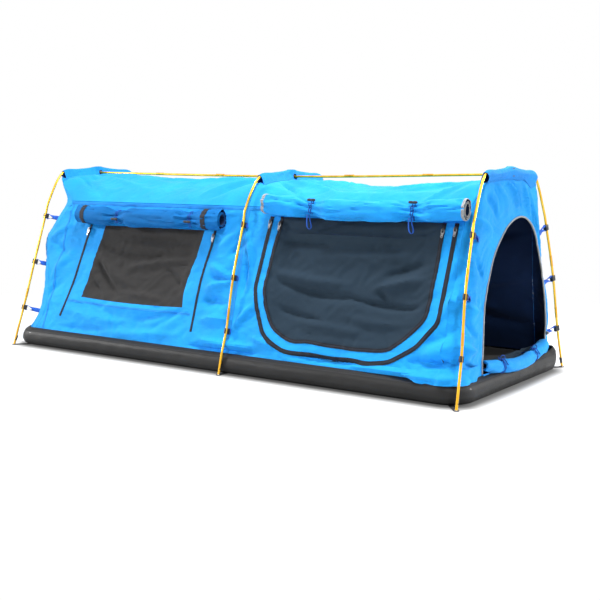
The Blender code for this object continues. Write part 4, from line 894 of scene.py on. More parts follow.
def edge_distance(x, slope, line):
    """How far each point lies from the nearest stretch of a line."""
    nearest = np.full_like(x, 1.0)
    for (x0, s0), (x1, s1) in zip(line, line[1:]):
        dx, ds = x1 - x0, s1 - s0
        t = np.clip(((x - x0) * dx + (slope - s0) * ds) / max(dx * dx + ds * ds, 1e-12), 0.0, 1.0)
        nearest = np.minimum(nearest, np.hypot(x - x0 - t * dx, slope - s0 - t * ds))
    return nearest


def near_relief(x, slope):
    """How far the near wall's cloth stands out: calm by its edges, its zips and the hoop."""
    held = fade(slope + WALL_LAP, 0.030) * fade(WALL_HEIGHT - slope, 0.020)
    middle = 0.45 + 0.55 * fade(np.abs(x - MIDDLE_X), 0.05)
    off_zips = np.min([edge_distance(x, slope, line) for line in SLIDER_RUNS], axis=0)
    calm = 0.20 + 0.80 * fade(off_zips, 0.042)
    relief = 2.6 * folds(x, slope, NEAR_STROKES) + 2.2 * middle * crumple(x, slope, 3.0)
    return held * calm * relief


def corner_arc(before, corner, after, radius):
    """Points of the arc that rounds one corner of a flat outline."""
    corner = Vector(corner)
    back, on = (Vector(before) - corner).normalized(), (Vector(after) - corner).normalized()
    half = back.angle(on) / 2
    start, end = corner + back * (radius / math.tan(half)), corner + on * (radius / math.tan(half))
    centre = corner + (back + on).normalized() * (radius / math.sin(half))
    turn = (start - centre).angle_signed(end - centre)
    return [centre + Matrix.Rotation(-turn * i / ARC_STEPS, 2) @ (start - centre)
            for i in range(ARC_STEPS + 1)]


def filled_in(points, step=0.02):
    """The same open line with a point at least every step."""
    line = []
    for start, end in zip(points, points[1:]):
        start, end = Vector(start), Vector(end)
        count = max(1, math.ceil((end - start).length / step))
        line += [start + (end - start) * i / count for i in range(count)]
    return [*line, Vector(points[-1])]


def swayed(line):
    """The line as slack cloth lets it wander, but true where the sliders run."""
    moved = []
    for x, slope in line:
        free = float(fade(np.array(0.285 - slope), 0.08))
        sway = 0.0200 * noise.noise(Vector((x * 9.0, slope * 11.0, 131.0)))
        rise = 0.0120 * noise.noise(Vector((x * 9.0, slope * 9.0, 137.0)))
        moved.append(Vector((x + free * sway, slope + free * rise)))
    return moved


def door_line(inset=0.0, below=0.0):
    """The door zip's open line, down the foot side, along the sill and up the other."""
    a = Vector((DOOR_TOPS[0] + inset, DOOR_HEAD - below))
    b = Vector((DOOR_FEET[0] + inset, DOOR_SILL + inset))
    c = Vector((DOOR_FEET[1] - inset, DOOR_SILL + inset))
    d = Vector((DOOR_TOPS[1] - inset, DOOR_HEAD - below))
    first, second = [radius - inset for radius in DOOR_ROUNDS]
    line = [a, *corner_arc(a, b, c, first), *corner_arc(b, c, d, second), d]
    return swayed(filled_in(line, 0.015))


def window_line(inset=0.0):
    """The window's outline, whose sill dips and whose head side bows in low down."""
    (a, low), (b, _), (c, high), (d, _) = WINDOW
    sill = [(a + (b - a) * t, low - WINDOW_DIP * math.sin(math.pi * t)) for t in STEPS_OF_EIGHT]
    side = [(b + (c - b) * t - WINDOW_BOW * math.sin(math.pi * min(1.0, t * 1.5)),
             low + (high - low) * t) for t in STEPS_OF_EIGHT]
    line = [*sill, (b, low), *side[1:], (c, high), (d, high)]
    return [(x + (inset if x < WINDOW_MIDDLE[0] else -inset),
             slope + (inset if slope < WINDOW_MIDDLE[1] else -inset)) for x, slope in line]


def hang_near_wall():
    cloth_cut("near_wall_canvas", wall_outline(), [window_line(), door_line()], near_relief,
              [canvas, inner_face_painted_shade], stands_for=["near_wall"], slot="canvas")


hang_near_wall()


# Window and door

FOLD_IN_WINDOW = (
    (-690, 345, -500, 165, -10, 16, -7), (-690, 375, -420, 215, -20, 20, 6),
    (-710, 270, -600, 170, -8, 12, -5), (-660, 385, -300, 355, -22, 14, -6),
    (-580, 400, -140, 395, -12, 18, 5), (-500, 290, -150, 345, 10, 16, 6),
    (-520, 185, -240, 165, 12, 18, 6), (-280, 300, -160, 200, 8, 14, -5),
    (-600, 440, -160, 430, -14, 12, -4),
)
FOLD_IN_DOOR = (
    (230, 478, 880, 478, -10, 10, 8), (250, 445, 500, 435, -4, 14, -8),
    (240, 305, 640, 250, -14, 17, -10), (220, 335, 600, 300, -14, 22, 8),
    (580, 255, 890, 240, -14, 12, -9), (660, 285, 900, 345, 0, 18, 8),
    (690, 300, 780, 235, -8, 12, -6), (700, 330, 900, 400, 0, 14, -6),
    (260, 205, 500, 160, -10, 14, -7), (320, 170, 720, 135, -12, 18, 6),
    (450, 400, 860, 420, -10, 22, 5), (560, 190, 860, 180, -12, 16, 5),
    (400, 110, 740, 108, -6, 10, -3),
)


def net_relief(line, reach, tall, strokes, sag):
    """The relief of a net that hangs slack from the edge that line gives."""
    def relief(x, slope):
        slack = fade(edge_distance(x, slope, [*line, line[0]]), reach)
        return near_relief(x, slope) + slack * (tall * folds(x, slope, strokes) - sag)

    return relief


def hang_window():
    relief = net_relief(window_line(), 0.05, 2.2, FOLD_IN_WINDOW, 0.006)
    cloth_cut("window_net", window_line(0.0002), [], relief, [window_net], MESH_CLOTH, 0.007,
              stands_for=["window_mesh"], slot="mesh")


def hang_door():
    mesh = door_line(DOOR_BORDER + 0.0002, 0.0005)
    relief = net_relief(door_line(DOOR_BORDER), 0.07, 2.0, FOLD_IN_DOOR, 0.008)
    cloth_cut("door_net", mesh, [], relief, [door_net], MESH_CLOTH, 0.008,
              stands_for=["door_mesh"], slot="mesh")
    border = [*door_line(0.0004, 0.0005), *door_line(DOOR_BORDER, 0.0005)[::-1]]
    cloth_cut("door_border_canvas", border, [], near_relief, [canvas, inner_face_painted_shade],
              stands_for=["door_border"], slot="canvas")


def wall_band(name, line, width, lift, paint, relief=near_relief, thickness=0.0016, side=-1,
              **dressing):
    """A tape laid on a long wall along a line of (x, slope), following its folds."""
    line = filled_in(line, 0.008)
    table = np.array(line)
    along = np.gradient(table, axis=0)
    along /= np.linalg.norm(along, axis=1, keepdims=True)
    lengths = running_lengths(*table.T)

    def place(u, v):
        at = u * lengths[-1]
        x, slope = [np.interp(at, lengths, table[:, i]) for i in (0, 1)]
        dx, ds = [np.interp(at, lengths, along[:, i]) for i in (0, 1)]
        off = (v - 0.5) * width
        x, slope = x - ds * off, slope + dx * off
        crown = 0.25 * lift * (1 - (2 * v - 1) ** 2)
        return wall_place(x, slope, relief(x, slope) + lift + crown, side)

    loft(name, len(line), 6, place, (lengths[-1], width), [paint], thickness, middle=0.5,
         **dressing)


def bent(line, bends):
    """A line of (x, slope) swayed along x: bends are (slope, sway)."""
    slopes, sways = [np.array(column) for column in zip(*bends)]
    return [(x + float(eased(slopes, sways, slope)), slope) for x, slope in line]


WINDOW_ZIP_BENDS = (
    ((0.065, -0.004), (0.16, 0.006), (0.30, 0.006), (0.42, 0.0), (0.465, 0.0)),
    ((0.065, -0.012), (0.20, -0.016), (0.30, -0.016), (0.40, -0.003), (0.465, 0.0)),
)
ZIP_LIFT = 0.0014
SEAM_LIFT = 0.0010
ROOF_SEAM_SLOPE = 0.557


def close_zips():
    for side, run, bends in zip(("left", "right"), SLIDER_RUNS, WINDOW_ZIP_BENDS):
        wall_band(f"window_zip_tape_{side}", bent(filled_in(run), bends), 0.010, ZIP_LIFT,
                  zip_cloth, stands_for=[f"window_zip_{side}"], slot="zip")
    for edge, inset, width in (("outer", 0.0, 0.016), ("inner", DOOR_BORDER, 0.014)):
        wall_band(f"door_zip_tape_{edge}", door_line(inset), width, ZIP_LIFT, zip_cloth,
                  stands_for=[f"door_{edge}_zip"], slot="zip")


def tape_seams():
    """Folded seams: along the roof's edge, over each clip row and round the window panel."""
    roof_seam = [(float(wall_edge(end, ROOF_SEAM_SLOPE)) + INWARD[end] * 0.004, ROOF_SEAM_SLOPE)
                 for end in ("foot", "head")]
    for side, name, relief in ((-1, "near", near_relief), (1, "far", far_relief)):
        wall_band(f"roof_seam_{name}", roof_seam, 0.011, SEAM_LIFT, seam_cloth, relief, TAPE,
                  side, slot="canvas")
        wall_band(f"middle_seam_{name}", [(MIDDLE_X, 0.001), (MIDDLE_X, 0.552)], 0.014,
                  SEAM_LIFT, seam_cloth, relief, TAPE, side, slot="canvas")
    for end, width, line in (("foot", 0.008, [(-0.925, 0.001), (-0.905, 0.20), (-0.862, 0.551)]),
                             ("low", 0.009, [(-0.800, 0.136), (-0.50, 0.128), (-0.120, 0.132)])):
        wall_band(f"window_panel_seam_{end}", line, width, 0.0009, seam_cloth, slot="canvas")


hang_window()
hang_door()
close_zips()


# Rolled covers over the window and the door


def cover_roll(index, shares, slope, sag, tie_shares):
    """A roll's two ends, its height up the wall, its sag and where it is tied."""
    ends = [bay_x(share, index) for share in shares]
    return ends, slope, sag, [ends[0] + (ends[1] - ends[0]) * share for share in tie_shares]


WINDOW_ROLL = cover_roll(0, (0.199, 0.913), WALL_HEIGHT - 0.060, 0.008, (0.295, 0.80))
DOOR_ROLL = cover_roll(1, (0.102, 0.984), WALL_HEIGHT + 0.006, 0.015, (0.26, 0.76))
WINDOW_SEED, DOOR_SEED = 11.0, 17.0

# A roll's half height and half depth, how often it is wound, and its end tapes
ROLL_HIGH, ROLL_DEEP = 0.037, 0.030
ROLL_TURNS = 2.9
ROLL_END = 0.002
ROLL_TAPE = 0.0014


def pinch(x, ties):
    """How far the ties draw a roll in at x, and how far off the nearest tie is."""
    nearest = np.min([np.abs(x - tie) for tie in ties], axis=0)
    away = np.clip((nearest - 0.012) / 0.060, 0.0, 1.0)
    return 0.66 + 0.34 * (0.5 - 0.5 * np.cos(math.pi * away)), nearest


def roll_place(x, turn, shrink, setting, seed):
    """A point of a roll at x, at an angle round it, drawn in by shrink from its outside."""
    ends, slope, sag, ties = setting
    size, nearest = pinch(x, ties)
    share = np.clip((x - ends[0]) / (ends[1] - ends[0]), 0.0, 1.0)
    up = slope - sag * np.sin(math.pi * share)
    out = 0.0009 + ROLL_DEEP * np.maximum(size, 0.82)
    gather = np.exp(-(nearest / 0.060) ** 2)
    swell = 0.0040 * gather * np.sin(7 * turn + 30 * np.abs(x))
    a, b = np.cos(turn), np.sin(turn)
    broad = noise_at(x * 11.0 + turn * 0.9, a * 1.4, b * 1.4 + seed)
    small = noise_at(x * 5.0 - turn * 0.5, a * 3.4, b * 3.4 + seed + 5.0)
    lines = noise_at(x * 5.0 + turn * 0.4, a * 1.9, b * 1.9 + seed + 9.0)
    swell = swell + 0.0046 * broad + 0.0030 * small - 0.0042 * np.exp(-(lines / 0.07) ** 2)
    swell = np.where(shrink > 0.002, 0.0, swell) - 0.0008
    flat = 1 - 0.13 * np.exp(-((turn - math.pi) / 0.8) ** 2)
    high = (ROLL_HIGH * size - shrink + swell) * np.sin(turn)
    deep = (ROLL_DEEP * size - shrink + swell) * np.cos(turn) * flat
    return wall_place(x, up + high, out + deep)


def roll_up(name, setting, seed, node, paint):
    """A cover rolled in nearly three turns, from its back round the outside and in."""
    low, high = setting[0]

    def place(u, v):
        x = low + 0.001 + (high - low - 0.002) * u
        turn = np.mod(v * ROLL_TURNS * math.tau, math.tau) - math.pi
        wound = v * ROLL_TURNS
        shrink = 0.0045 * wound + 0.002 * np.minimum(wound, 1.0)
        return roll_place(x, turn, np.where(wound < 0.98, 0.0006 * v, shrink), setting, seed)

    loft(name, int((high - low) / 0.007), 116, place, (high - low, 0.6), [paint, inner_face_painted_shade],
         ROLL_TAPE, stands_for=[node], slot="canvas")


def bind_roll_end(name, setting, x, seed):
    """Grey tape sewn round the end of a roll."""
    v = np.arange(101) / 100
    wound = v * ROLL_TURNS
    shrink = np.where(wound < 0.98, 0.0006 * v, 0.0045 * wound + 0.002)
    turn = np.mod(wound * math.tau, math.tau) - math.pi
    line = roll_place(np.full_like(v, x), turn, shrink, setting, seed)
    tube(name, line, 0.0015, grey_tape, 3, slot="binding")


def ring_round_roll(name, setting, x, width, paint, grow, seed, slot):
    """A band drawn round a roll."""

    def place(u, v):
        at = x + (v - 0.5) * width
        turn = (u - 0.5) * math.tau
        return roll_place(at, turn, np.full_like(u, -grow), setting, seed)

    loft(name, 72, 8, place, (0.22, width), [paint], ROLL_TAPE, closed=True, slot=slot)


def tie_up_covers():
    foot_end, head_end = DOOR_ROLL[0]
    # The window cover's darker finish is painted shade
    roll_up("window_cover", WINDOW_ROLL, WINDOW_SEED, "window_cover_roll", window_cover_painted_shade)
    roll_up("door_cover", DOOR_ROLL, DOOR_SEED, "door_cover_roll", canvas)
    for side, x in (("left", foot_end + ROLL_END), ("right", head_end - ROLL_END)):
        bind_roll_end(f"door_cover_binding_{side}", DOOR_ROLL, x, DOOR_SEED)
    for side, x, width in (("left", foot_end + 0.007, 0.012), ("right", head_end - 0.006, 0.009)):
        ring_round_roll(f"door_cover_band_{side}", DOOR_ROLL, x, width, grey_tape, 0.0006,
                        DOOR_SEED, "binding")
    for side, x in (("left", -0.742), ("right", -0.084)):
        ring_round_roll(f"window_elastic_{side}", WINDOW_ROLL, x, 0.022, elastic, 0.0018,
                        WINDOW_SEED, "zip")


tie_up_covers()


# Roof, end walls and far wall

ROOF_STROKES = (
    (-990, -20, -450, -130, 20, 30, 6), (-990, -80, -500, -200, 20, 26, 6),
    (-980, -150, -700, -260, 10, 18, -5), (-990, -50, -600, -160, 18, 16, -4),
    (60, -50, -400, -120, -20, 28, 6), (60, -120, -200, -240, -10, 20, 6),
    (60, -150, -140, -260, -6, 14, -5), (-700, -30, -200, -30, -10, 22, -4),
    (110, -30, 450, -100, 20, 22, 6), (110, -80, 420, -180, 16, 18, 7),
    (110, -60, 380, -140, 16, 12, -5), (110, -130, 300, -240, 10, 14, -6),
    (990, -40, 550, -130, -20, 22, 7), (990, -90, 620, -190, -16, 16, 6),
    (990, -70, 660, -150, -16, 12, -5), (990, -150, 800, -250, -10, 14, 6),
    (350, -170, 850, -180, -20, 30, 5), (-990, 60, -450, 170, -20, 30, 6),
    (60, 60, -400, 160, 20, 28, 6), (110, 50, 450, 150, -20, 22, 6),
    (990, 60, 550, 160, 20, 22, 7), (110, 130, 340, 240, -10, 16, -6),
    (990, 130, 740, 240, 10, 16, -6),
)


ROOF_END_IN = 0.022


def stretch_roof():
    """The roof, bent at each end to meet the rim of the wall there."""
    spans = np.concatenate([-np.linspace(1.0, 0.0, 37), np.linspace(0.0, 1.0, 37)[1:]])

    def place(u, v):
        y = np.interp(v, np.linspace(0, 1, len(spans)), spans) * SEAM_SPAN
        foot, head = [hoop_top_x(end) + INWARD[end] * ROOF_END_IN for end in ("foot", "head")]
        x = foot + (head - foot) * u
        z, rim_z = roof_z(x, y), roof_line(y)
        for end, inward in INWARD.items():
            edge = end_x(end, rim_z) + inward * (corner_round(end, rim_z) - 0.0015)
            first = foot if end == "foot" else head
            z = z + (rim_z - z) * (1 - fade(inward * (x - first), 0.10))
            push = np.maximum(0.0, inward * (edge - first))
            pull = np.minimum(0.0, inward * (edge - first))
            near = np.clip(1 - inward * (x - first) / 0.35, 0.0, 1.0)
            x = x + inward * (push * near ** 2 + pull * np.clip(1 - inward * (x - first) / 0.03,
                                                                0.0, 1.0))
        from_hoop = np.min([np.abs(x - hoop_top_x(hoop)) for hoop in HOOPS], axis=0)
        loose = fade(from_hoop - 0.026, 0.05) * fade(SEAM_SPAN - np.abs(y), 0.03)
        for end, inward in INWARD.items():
            edge = end_x(end, z) + inward * corner_round(end, z)
            loose = loose * fade(inward * (x - edge) - 0.004, 0.045)
        lift = 2.6 * folds(x, y, ROOF_STROKES) + 2.0 * crumple(x, y, 23.0)
        return np.stack([x, y, z + loose * lift + 0.001], -1)

    loft("roof_canvas", 240, len(spans) - 1, place, (2.0, 0.62), [canvas, inner_face_painted_shade],
         stands_for=["roof_panel"], slot="canvas")


def bind_shoulders():
    """The seam tape over the join of the roof and each end wall."""
    width = 0.0125
    for end, inward in INWARD.items():
        def place(u, v):
            y = (2 * u - 1) * (SEAM_SPAN - 0.002)
            z = roof_line(y)
            x = end_x(end, z) + inward * (corner_round(end, z) - 0.0030 + width * v)
            crown = 0.0008 * (1 - (2 * v - 1) ** 2)
            return np.stack([x, y, z + 0.0024 + crown], -1)

        loft(f"shoulder_seam_{end}", 120, 6, place, (0.62, width), [canvas], 0.0010,
             slot="canvas")


def far_relief(x, slope):
    held = fade(slope + WALL_LAP, 0.05) * fade(WALL_HEIGHT - slope, 0.03)
    return held * (2.6 * folds(x, slope, FAR_STROKES) + 2.0 * crumple(x, slope, 31.0) - 0.003)


def hang_far_wall():
    cloth_cut("far_wall_canvas", wall_outline(), [], far_relief, [canvas, inner_face_painted_shade], step=0.010,
              side=1, stands_for=["far_wall"], slot="canvas")


FAR_STROKES = (
    (-950, 450, -600, 300, 20, 25, 6), (-950, 150, -550, 200, 20, 22, -6),
    (60, 480, -300, 350, -20, 24, 6), (60, 290, -350, 220, -10, 22, 6),
    (60, 90, -350, 130, 10, 20, -6), (110, 480, 500, 330, 20, 24, 6),
    (110, 290, 500, 200, 10, 22, 6), (110, 90, 450, 120, 10, 20, -6),
    (1000, 480, 600, 360, -20, 24, 6), (1000, 290, 620, 220, -10, 22, -6),
    (1000, 90, 600, 140, 10, 20, 6), (-700, 80, 800, 60, -10, 16, -5),
    (200, 420, 850, 300, -20, 20, -6), (250, 240, 900, 160, -20, 18, -6),
)


def end_rim():
    """Shares of the way round an end wall's edge, from foot to foot, with their y and z."""
    slopes = np.linspace(-WALL_LAP, WALL_HEIGHT - 0.001, 40)
    spans = SEAM_SPAN * (1 - np.linspace(0.0, 1.0, 60))
    y = np.concatenate([wall_half(wall_z(slopes)), spans])
    z = np.concatenate([wall_z(slopes), roof_line(spans)])
    y, z = np.concatenate([-y, y[-2::-1]]), np.concatenate([z, z[-2::-1]])
    lengths = running_lengths(y, z)
    return lengths / lengths[-1], y, z


def hang_foot_wall():
    share, rim_y, rim_z = end_rim()

    def place(u, v):
        edge_y, edge_z = np.interp(u, share, rim_y), np.interp(u, share, rim_z)
        core_y = (u - 0.5) * 0.6 * WALL_FOOT
        core_z = TUB_HEIGHT - WALL_LAP
        y, z = core_y + (edge_y - core_y) * v, core_z + (edge_z - core_z) * v
        held = fade(1 - v, 0.14) * fade(z - TUB_HEIGHT, 0.05)
        own = held * (2.4 * folds(y, z, FOOT_STROKES) + 2.0 * crumple(y, z, 41.0) - 0.005)
        return end_place("foot", y, z, round_the_end("foot", y, z, own))

    loft("foot_wall_canvas", 220, 60, place, (1.9, 0.5), [inner_face_painted_shade, canvas],
         stands_for=["foot_wall"], slot="canvas")


FOOT_STROKES = (
    (-330, 450, -20, 280, 20, 24, 6), (330, 450, 20, 280, -20, 24, 6),
    (-220, 700, -60, 420, 10, 20, 5), (220, 700, 60, 420, -10, 20, 5),
    (-50, 720, -20, 460, 0, 16, -4), (-380, 140, -50, 200, 10, 20, -5),
    (380, 140, 50, 200, -10, 20, -5), (-250, 100, 250, 100, -10, 16, 4),
)

# The doorway from its foot round to its crown: half widths, heights and sideways leans
ARCH_MIDDLE = 0.045
ARCH_WIDTHS = np.array([1.0, 0.99, 0.98, 0.95, 0.87, 0.74, 0.54, 0.30, 0.0]) * 0.285
ARCH_RISES = np.array([0.0, 0.14, 0.30, 0.44, 0.58, 0.74, 0.87, 0.965, 1.0]) * 0.545
ARCH_LEANS = np.array([0.0, 0.0, 0.0, 0.0, 0.0, 0.1, 0.4, 0.7, 1.0]) * 0.040


def arch(share):
    """(y, z) of the doorway's edge at shares of the way round it."""
    stations = np.linspace(0.0, 1.0, 9)
    along = 1 - np.abs(2 * share - 1)
    half = np.interp(along, stations, ARCH_WIDTHS)
    rise = np.interp(along, stations, ARCH_RISES)
    middle = ARCH_MIDDLE + np.interp(along, stations, ARCH_LEANS)
    return middle + np.where(share > 0.5, half, -half), TUB_HEIGHT - WALL_LAP + rise


def smooth_arch(share):
    """The same edge with its corners eased, but true at its two feet."""
    offsets = np.linspace(-0.028, 0.028, 9)
    table = [arch(np.clip(share + off, 0.0, 1.0)) for off in offsets]
    edge = np.clip(np.minimum(share, 1 - share) / 0.05, 0.0, 1.0)
    y = np.mean([pair[0] for pair in table], axis=0)
    z = np.mean([pair[1] for pair in table], axis=0)
    sharp_y, sharp_z = arch(share)
    return sharp_y + (y - sharp_y) * edge, sharp_z + (z - sharp_z) * edge


HEAD_STROKES = (
    (-250, 710, -110, 600, 12, 17, -5), (-300, 610, -160, 545, 10, 18, 6),
    (-330, 530, -240, 400, 12, 17, -6), (-360, 510, -250, 470, 0, 12, 5),
    (-370, 360, -270, 290, -10, 18, 7), (-380, 330, -280, 210, -12, 17, -7),
    (-400, 200, -280, 160, 0, 15, 6), (-410, 160, -280, 100, 0, 12, -5),
    (-170, 735, -30, 620, 16, 16, 5), (-60, 740, 60, 625, 10, 12, 6),
    (-10, 735, 85, 630, 6, 10, -5), (90, 730, 160, 600, -4, 14, 5),
    (150, 700, 260, 500, -10, 17, 6), (230, 600, 300, 410, -8, 14, -5),
    (330, 420, 335, 140, 0, 15, 6),
)


def head_relief(y, z):
    return 3.0 * folds(y, z, HEAD_STROKES) + 2.2 * crumple(y, z, 47.0)


def hang_head_wall():
    share, rim_y, rim_z = end_rim()

    def place(u, v):
        edge_y, edge_z = np.interp(u, share, rim_y), np.interp(u, share, rim_z)
        arch_y, arch_z = smooth_arch(u)
        y, z = arch_y + (edge_y - arch_y) * v, arch_z + (edge_z - arch_z) * v
        held = fade(1 - v, 0.12) * (0.35 + 0.65 * fade(v, 0.15)) * fade(z - TUB_HEIGHT, 0.04)
        return end_place("head", y, z, round_the_end("head", y, z, held * head_relief(y, z)))

    loft("head_wall_canvas", 300, 44, place, (1.9, 0.3), [canvas, inner_face_painted_shade],
         stands_for=["head_wall"], slot="canvas")
    shares = np.linspace(0.0, 1.0, 161)
    y, z = smooth_arch(shares)
    z = np.maximum(z, TUB_HEIGHT + 0.004)
    held = 0.35 * fade(z - TUB_HEIGHT, 0.04)
    line = end_place("head", y, z, round_the_end("head", y, z, held * head_relief(y, z)))
    line[:, 0] += 0.0010
    tube("doorway_piping", line, 0.0034, grey_tape, 3, stands_for=["head_door_piping"],
         slot="binding")


stretch_roof()
bind_shoulders()
hang_far_wall()
tape_seams()
hang_foot_wall()
hang_head_wall()


# Tub, foot tabs and mattress

TUB_SKIN, TUB_CORNER, FLOOR_TUCK = 0.002, 0.10, 0.030
TUB_AROUND, TUB_HEM = 5.93, 0.0135
FLOOR_SHARE = 0.25

# How far the far head corner's rim is pulled out and up
POINT_OUT, POINT_UP = 0.020, 0.014

# Up the tub's side, at even steps: its heights, and how far it is tucked in
TUB_SHARES = np.linspace(0, 1, 7)
TUB_RISES = np.array([0.0, 0.08, 0.26, 0.5, 0.74, 0.92, 1.0]) * TUB_HEIGHT
TUB_TUCKS = np.array([1.132, 0.45, 0.08, 0.0, 0.19, 0.62, 1.0]) * RIM_TUCK


def round_tub(share):
    """(x, y) on the tub's core line, and the direction out, at shares of the way round."""
    half_x, half_y = TUB_LENGTH / 2 - TUB_CORNER, TUB_WIDTH / 2 - TUB_CORNER
    arc = math.pi / 2 * TUB_CORNER
    runs = (2 * half_x, arc, 2 * half_y, arc, 2 * half_x, arc, 2 * half_y, arc)
    ends = np.concatenate([[0.0], np.cumsum(runs)])
    at = (share % 1.0) * ends[-1]
    leg = np.clip(np.searchsorted(ends, at, side="right") - 1, 0, 7)
    part = (at - ends[leg]) / np.array(runs)[leg]
    turn = -math.pi / 2 + (leg // 2) * math.pi / 2 + np.where(leg % 2 == 1, part, 0.0) * math.pi / 2
    xs = np.array([-half_x, half_x, half_x, half_x, half_x, -half_x, -half_x, -half_x, -half_x])
    ys = np.array([-half_y, -half_y, -half_y, half_y, half_y, half_y, half_y, -half_y, -half_y])
    x = xs[leg] + (xs[leg + 1] - xs[leg]) * part
    y = ys[leg] + (ys[leg + 1] - ys[leg]) * part
    return x, y, np.cos(turn), np.sin(turn)


def tub_out(share, rise):
    """How far the tub's side stands out of its plain shape."""
    x, y, _, _ = round_tub(share)
    swell = (0.0034 * noise_at(x * 4.0, y * 4.0, rise * 1.6 + 61.0)
             + 0.0014 * noise_at(x * 17.0, y * 17.0, rise * 2.4 + 67.0))
    return swell * np.sin(math.pi * np.clip(rise, 0.0, 0.97)) ** 0.5


def tub_peak(share):
    """1 at the far head corner, where the tub's wall is pulled up and out to a point."""
    x, y, out_x, out_y = round_tub(share)
    away = np.hypot(x - TUB_LENGTH / 2 + TUB_CORNER, y - TUB_WIDTH / 2 + TUB_CORNER)
    facing = np.clip((out_x + out_y - 1.0) / 0.4142, 0.0, 1.0)
    return np.where(away < 0.002, facing ** 2, 0.0)


def tub_place(share, z, reach):
    """Points of the tub at a height, out from its core line, with the pulled corner."""
    x, y, out_x, out_y = round_tub(share)
    peak = tub_peak(share) * (z / TUB_HEIGHT) ** 2
    reach = reach + POINT_OUT * peak
    return np.stack([x + out_x * reach, y + out_y * reach, z + POINT_UP * peak], -1)


def form_tub():
    def skin(u, v):
        z = eased(TUB_SHARES, TUB_RISES, (v - FLOOR_SHARE) / (1 - FLOOR_SHARE))
        tuck = eased(TUB_RISES, TUB_TUCKS, z) + TUB_SKIN / 2
        swell = np.where(v > FLOOR_SHARE, tub_out(u, z / TUB_HEIGHT), 0.0)
        point = tub_place(u, z, TUB_CORNER - tuck + swell)
        point[:, :2] *= np.clip(v / FLOOR_SHARE, 0.0, 1.0)[:, None]
        point[:, 2] += np.maximum(-z, 0.0) + TUB_SKIN / 2
        return point

    def hem(u, v):
        z = TUB_HEIGHT - TUB_HEM * (1 - v) + 0.0006
        tuck = eased(TUB_RISES, TUB_TUCKS, np.minimum(z, TUB_HEIGHT)) - 0.0007
        return tub_place(u, z, TUB_CORNER - tuck + tub_out(u, np.minimum(z / TUB_HEIGHT, 1.0)))

    loft("tub_skin", 640, 44, skin, (TUB_AROUND, 0.6), [pvc], TUB_SKIN, closed=True,
         stands_for=["tub_base"], slot="base_fabric")
    loft("tub_hem", 640, 4, hem, (TUB_AROUND, TUB_HEM), [hem_tape], TAPE, closed=True,
         slot="base_fabric")


# The tabs under the poles' feet, and their eyelets
TAB_START, MIDDLE_TAB_START = 0.080, 0.050
TAB_HALF, TAB_Z, TAB_THICK = 0.0095, 0.0010, 0.0016
EYELET_HOLE, EYELET_RING, EYELET_WIRE, EYELET_Z = 0.0048, 0.0064, 0.0012, 0.0022


def tab_places():
    """Each foot tab's name, where it starts under the tub and the pole's foot it goes to."""
    inset = FLOOR_TUCK + TUB_CORNER
    limit = TUB_LENGTH / 2 - inset
    for hoop in HOOPS:
        for side, side_name in SIDES:
            foot = hoop_line(hoop)[0]
            foot = Vector((foot.x, -side * foot.y))
            anchor = Vector((max(-limit, min(limit, foot.x)), side * (TUB_WIDTH / 2 - inset)))
            start = anchor + (foot - anchor).normalized() * TAB_START
            if hoop == "middle":
                start = Vector((foot.x, side * (TUB_WIDTH / 2 - MIDDLE_TAB_START)))
            yield f"{hoop}_{side_name}", start, foot


# Down the loose canvas at the near head corner: its heights, and how far it stands out. It
# starts so far before the corner's arc
DRAPE_DOWN = np.array([0.0, 0.25, 0.50, 0.75, 0.92, 1.0])
DRAPE_Z = np.array([0.116, 0.102, 0.089, 0.078, 0.069, 0.0655])
DRAPE_OUT = np.array([0.0, 0.0055, 0.0125, 0.0185, 0.0205, 0.0200])
DRAPE_START, DRAPE_LENGTH = -0.125, 0.325


def drape_corner():
    """Loose canvas that bags out over the tub's rim round the near head corner."""
    round_ = float(corner_round("head", TUB_HEIGHT))
    centre = np.array([END_X - round_, -(WALL_FOOT - round_)])
    arc = math.pi / 2 * round_
    edge_x = float(wall_edge("head", 0.0))

    def place(u, v):
        along = DRAPE_START + DRAPE_LENGTH * u
        turn = np.clip(along / arc, 0.0, 1.0) * math.pi / 2
        past = np.maximum(along - arc, 0.0)
        base_x = np.where(along < 0, centre[0] + along, centre[0] + round_ * np.sin(turn))
        base_y = np.where(along < 0, -WALL_FOOT, centre[1] - round_ * np.cos(turn) + past)
        ends = fade(np.minimum(u, 1 - u), 0.20)
        wave = (noise_at(along * 13.0, 5.0, 111.0)
                + 0.5 * noise_at(along * 37.0, v * 1.5, 113.0))
        fold = noise_at(along * 16.0 + v * 1.2, v * 1.3, 119.0)
        full = np.clip(0.72 + 0.8 * wave, 0.25, 1.15) * ends
        z = eased(DRAPE_DOWN, DRAPE_Z, v)
        z = z + (0.080 + 0.018 * (1 - v) - z) * (1 - ends) * v + 0.0050 * wave * v ** 3
        half = (TUB_HEIGHT - z) * math.tan(WALL_LEAN)
        out = eased(DRAPE_DOWN, DRAPE_OUT, v) * full + 0.004 * fold * np.sin(math.pi * v) * ends
        slope = (z - TUB_HEIGHT) / math.cos(WALL_LEAN)
        lie = near_relief(edge_x + along, np.maximum(slope, 0.0)) * (1 - fade(along - 0.005, 0.11))
        out = out + 0.0016 + np.where(z > TUB_HEIGHT, half, 0.0) * np.cos(turn) + lie
        return np.stack([base_x + np.sin(turn) * out, base_y - np.cos(turn) * out, z], -1)

    loft("corner_drape_near_head", 150, 22, place, (0.33, 0.06), [canvas], 0.0011, slot="canvas")


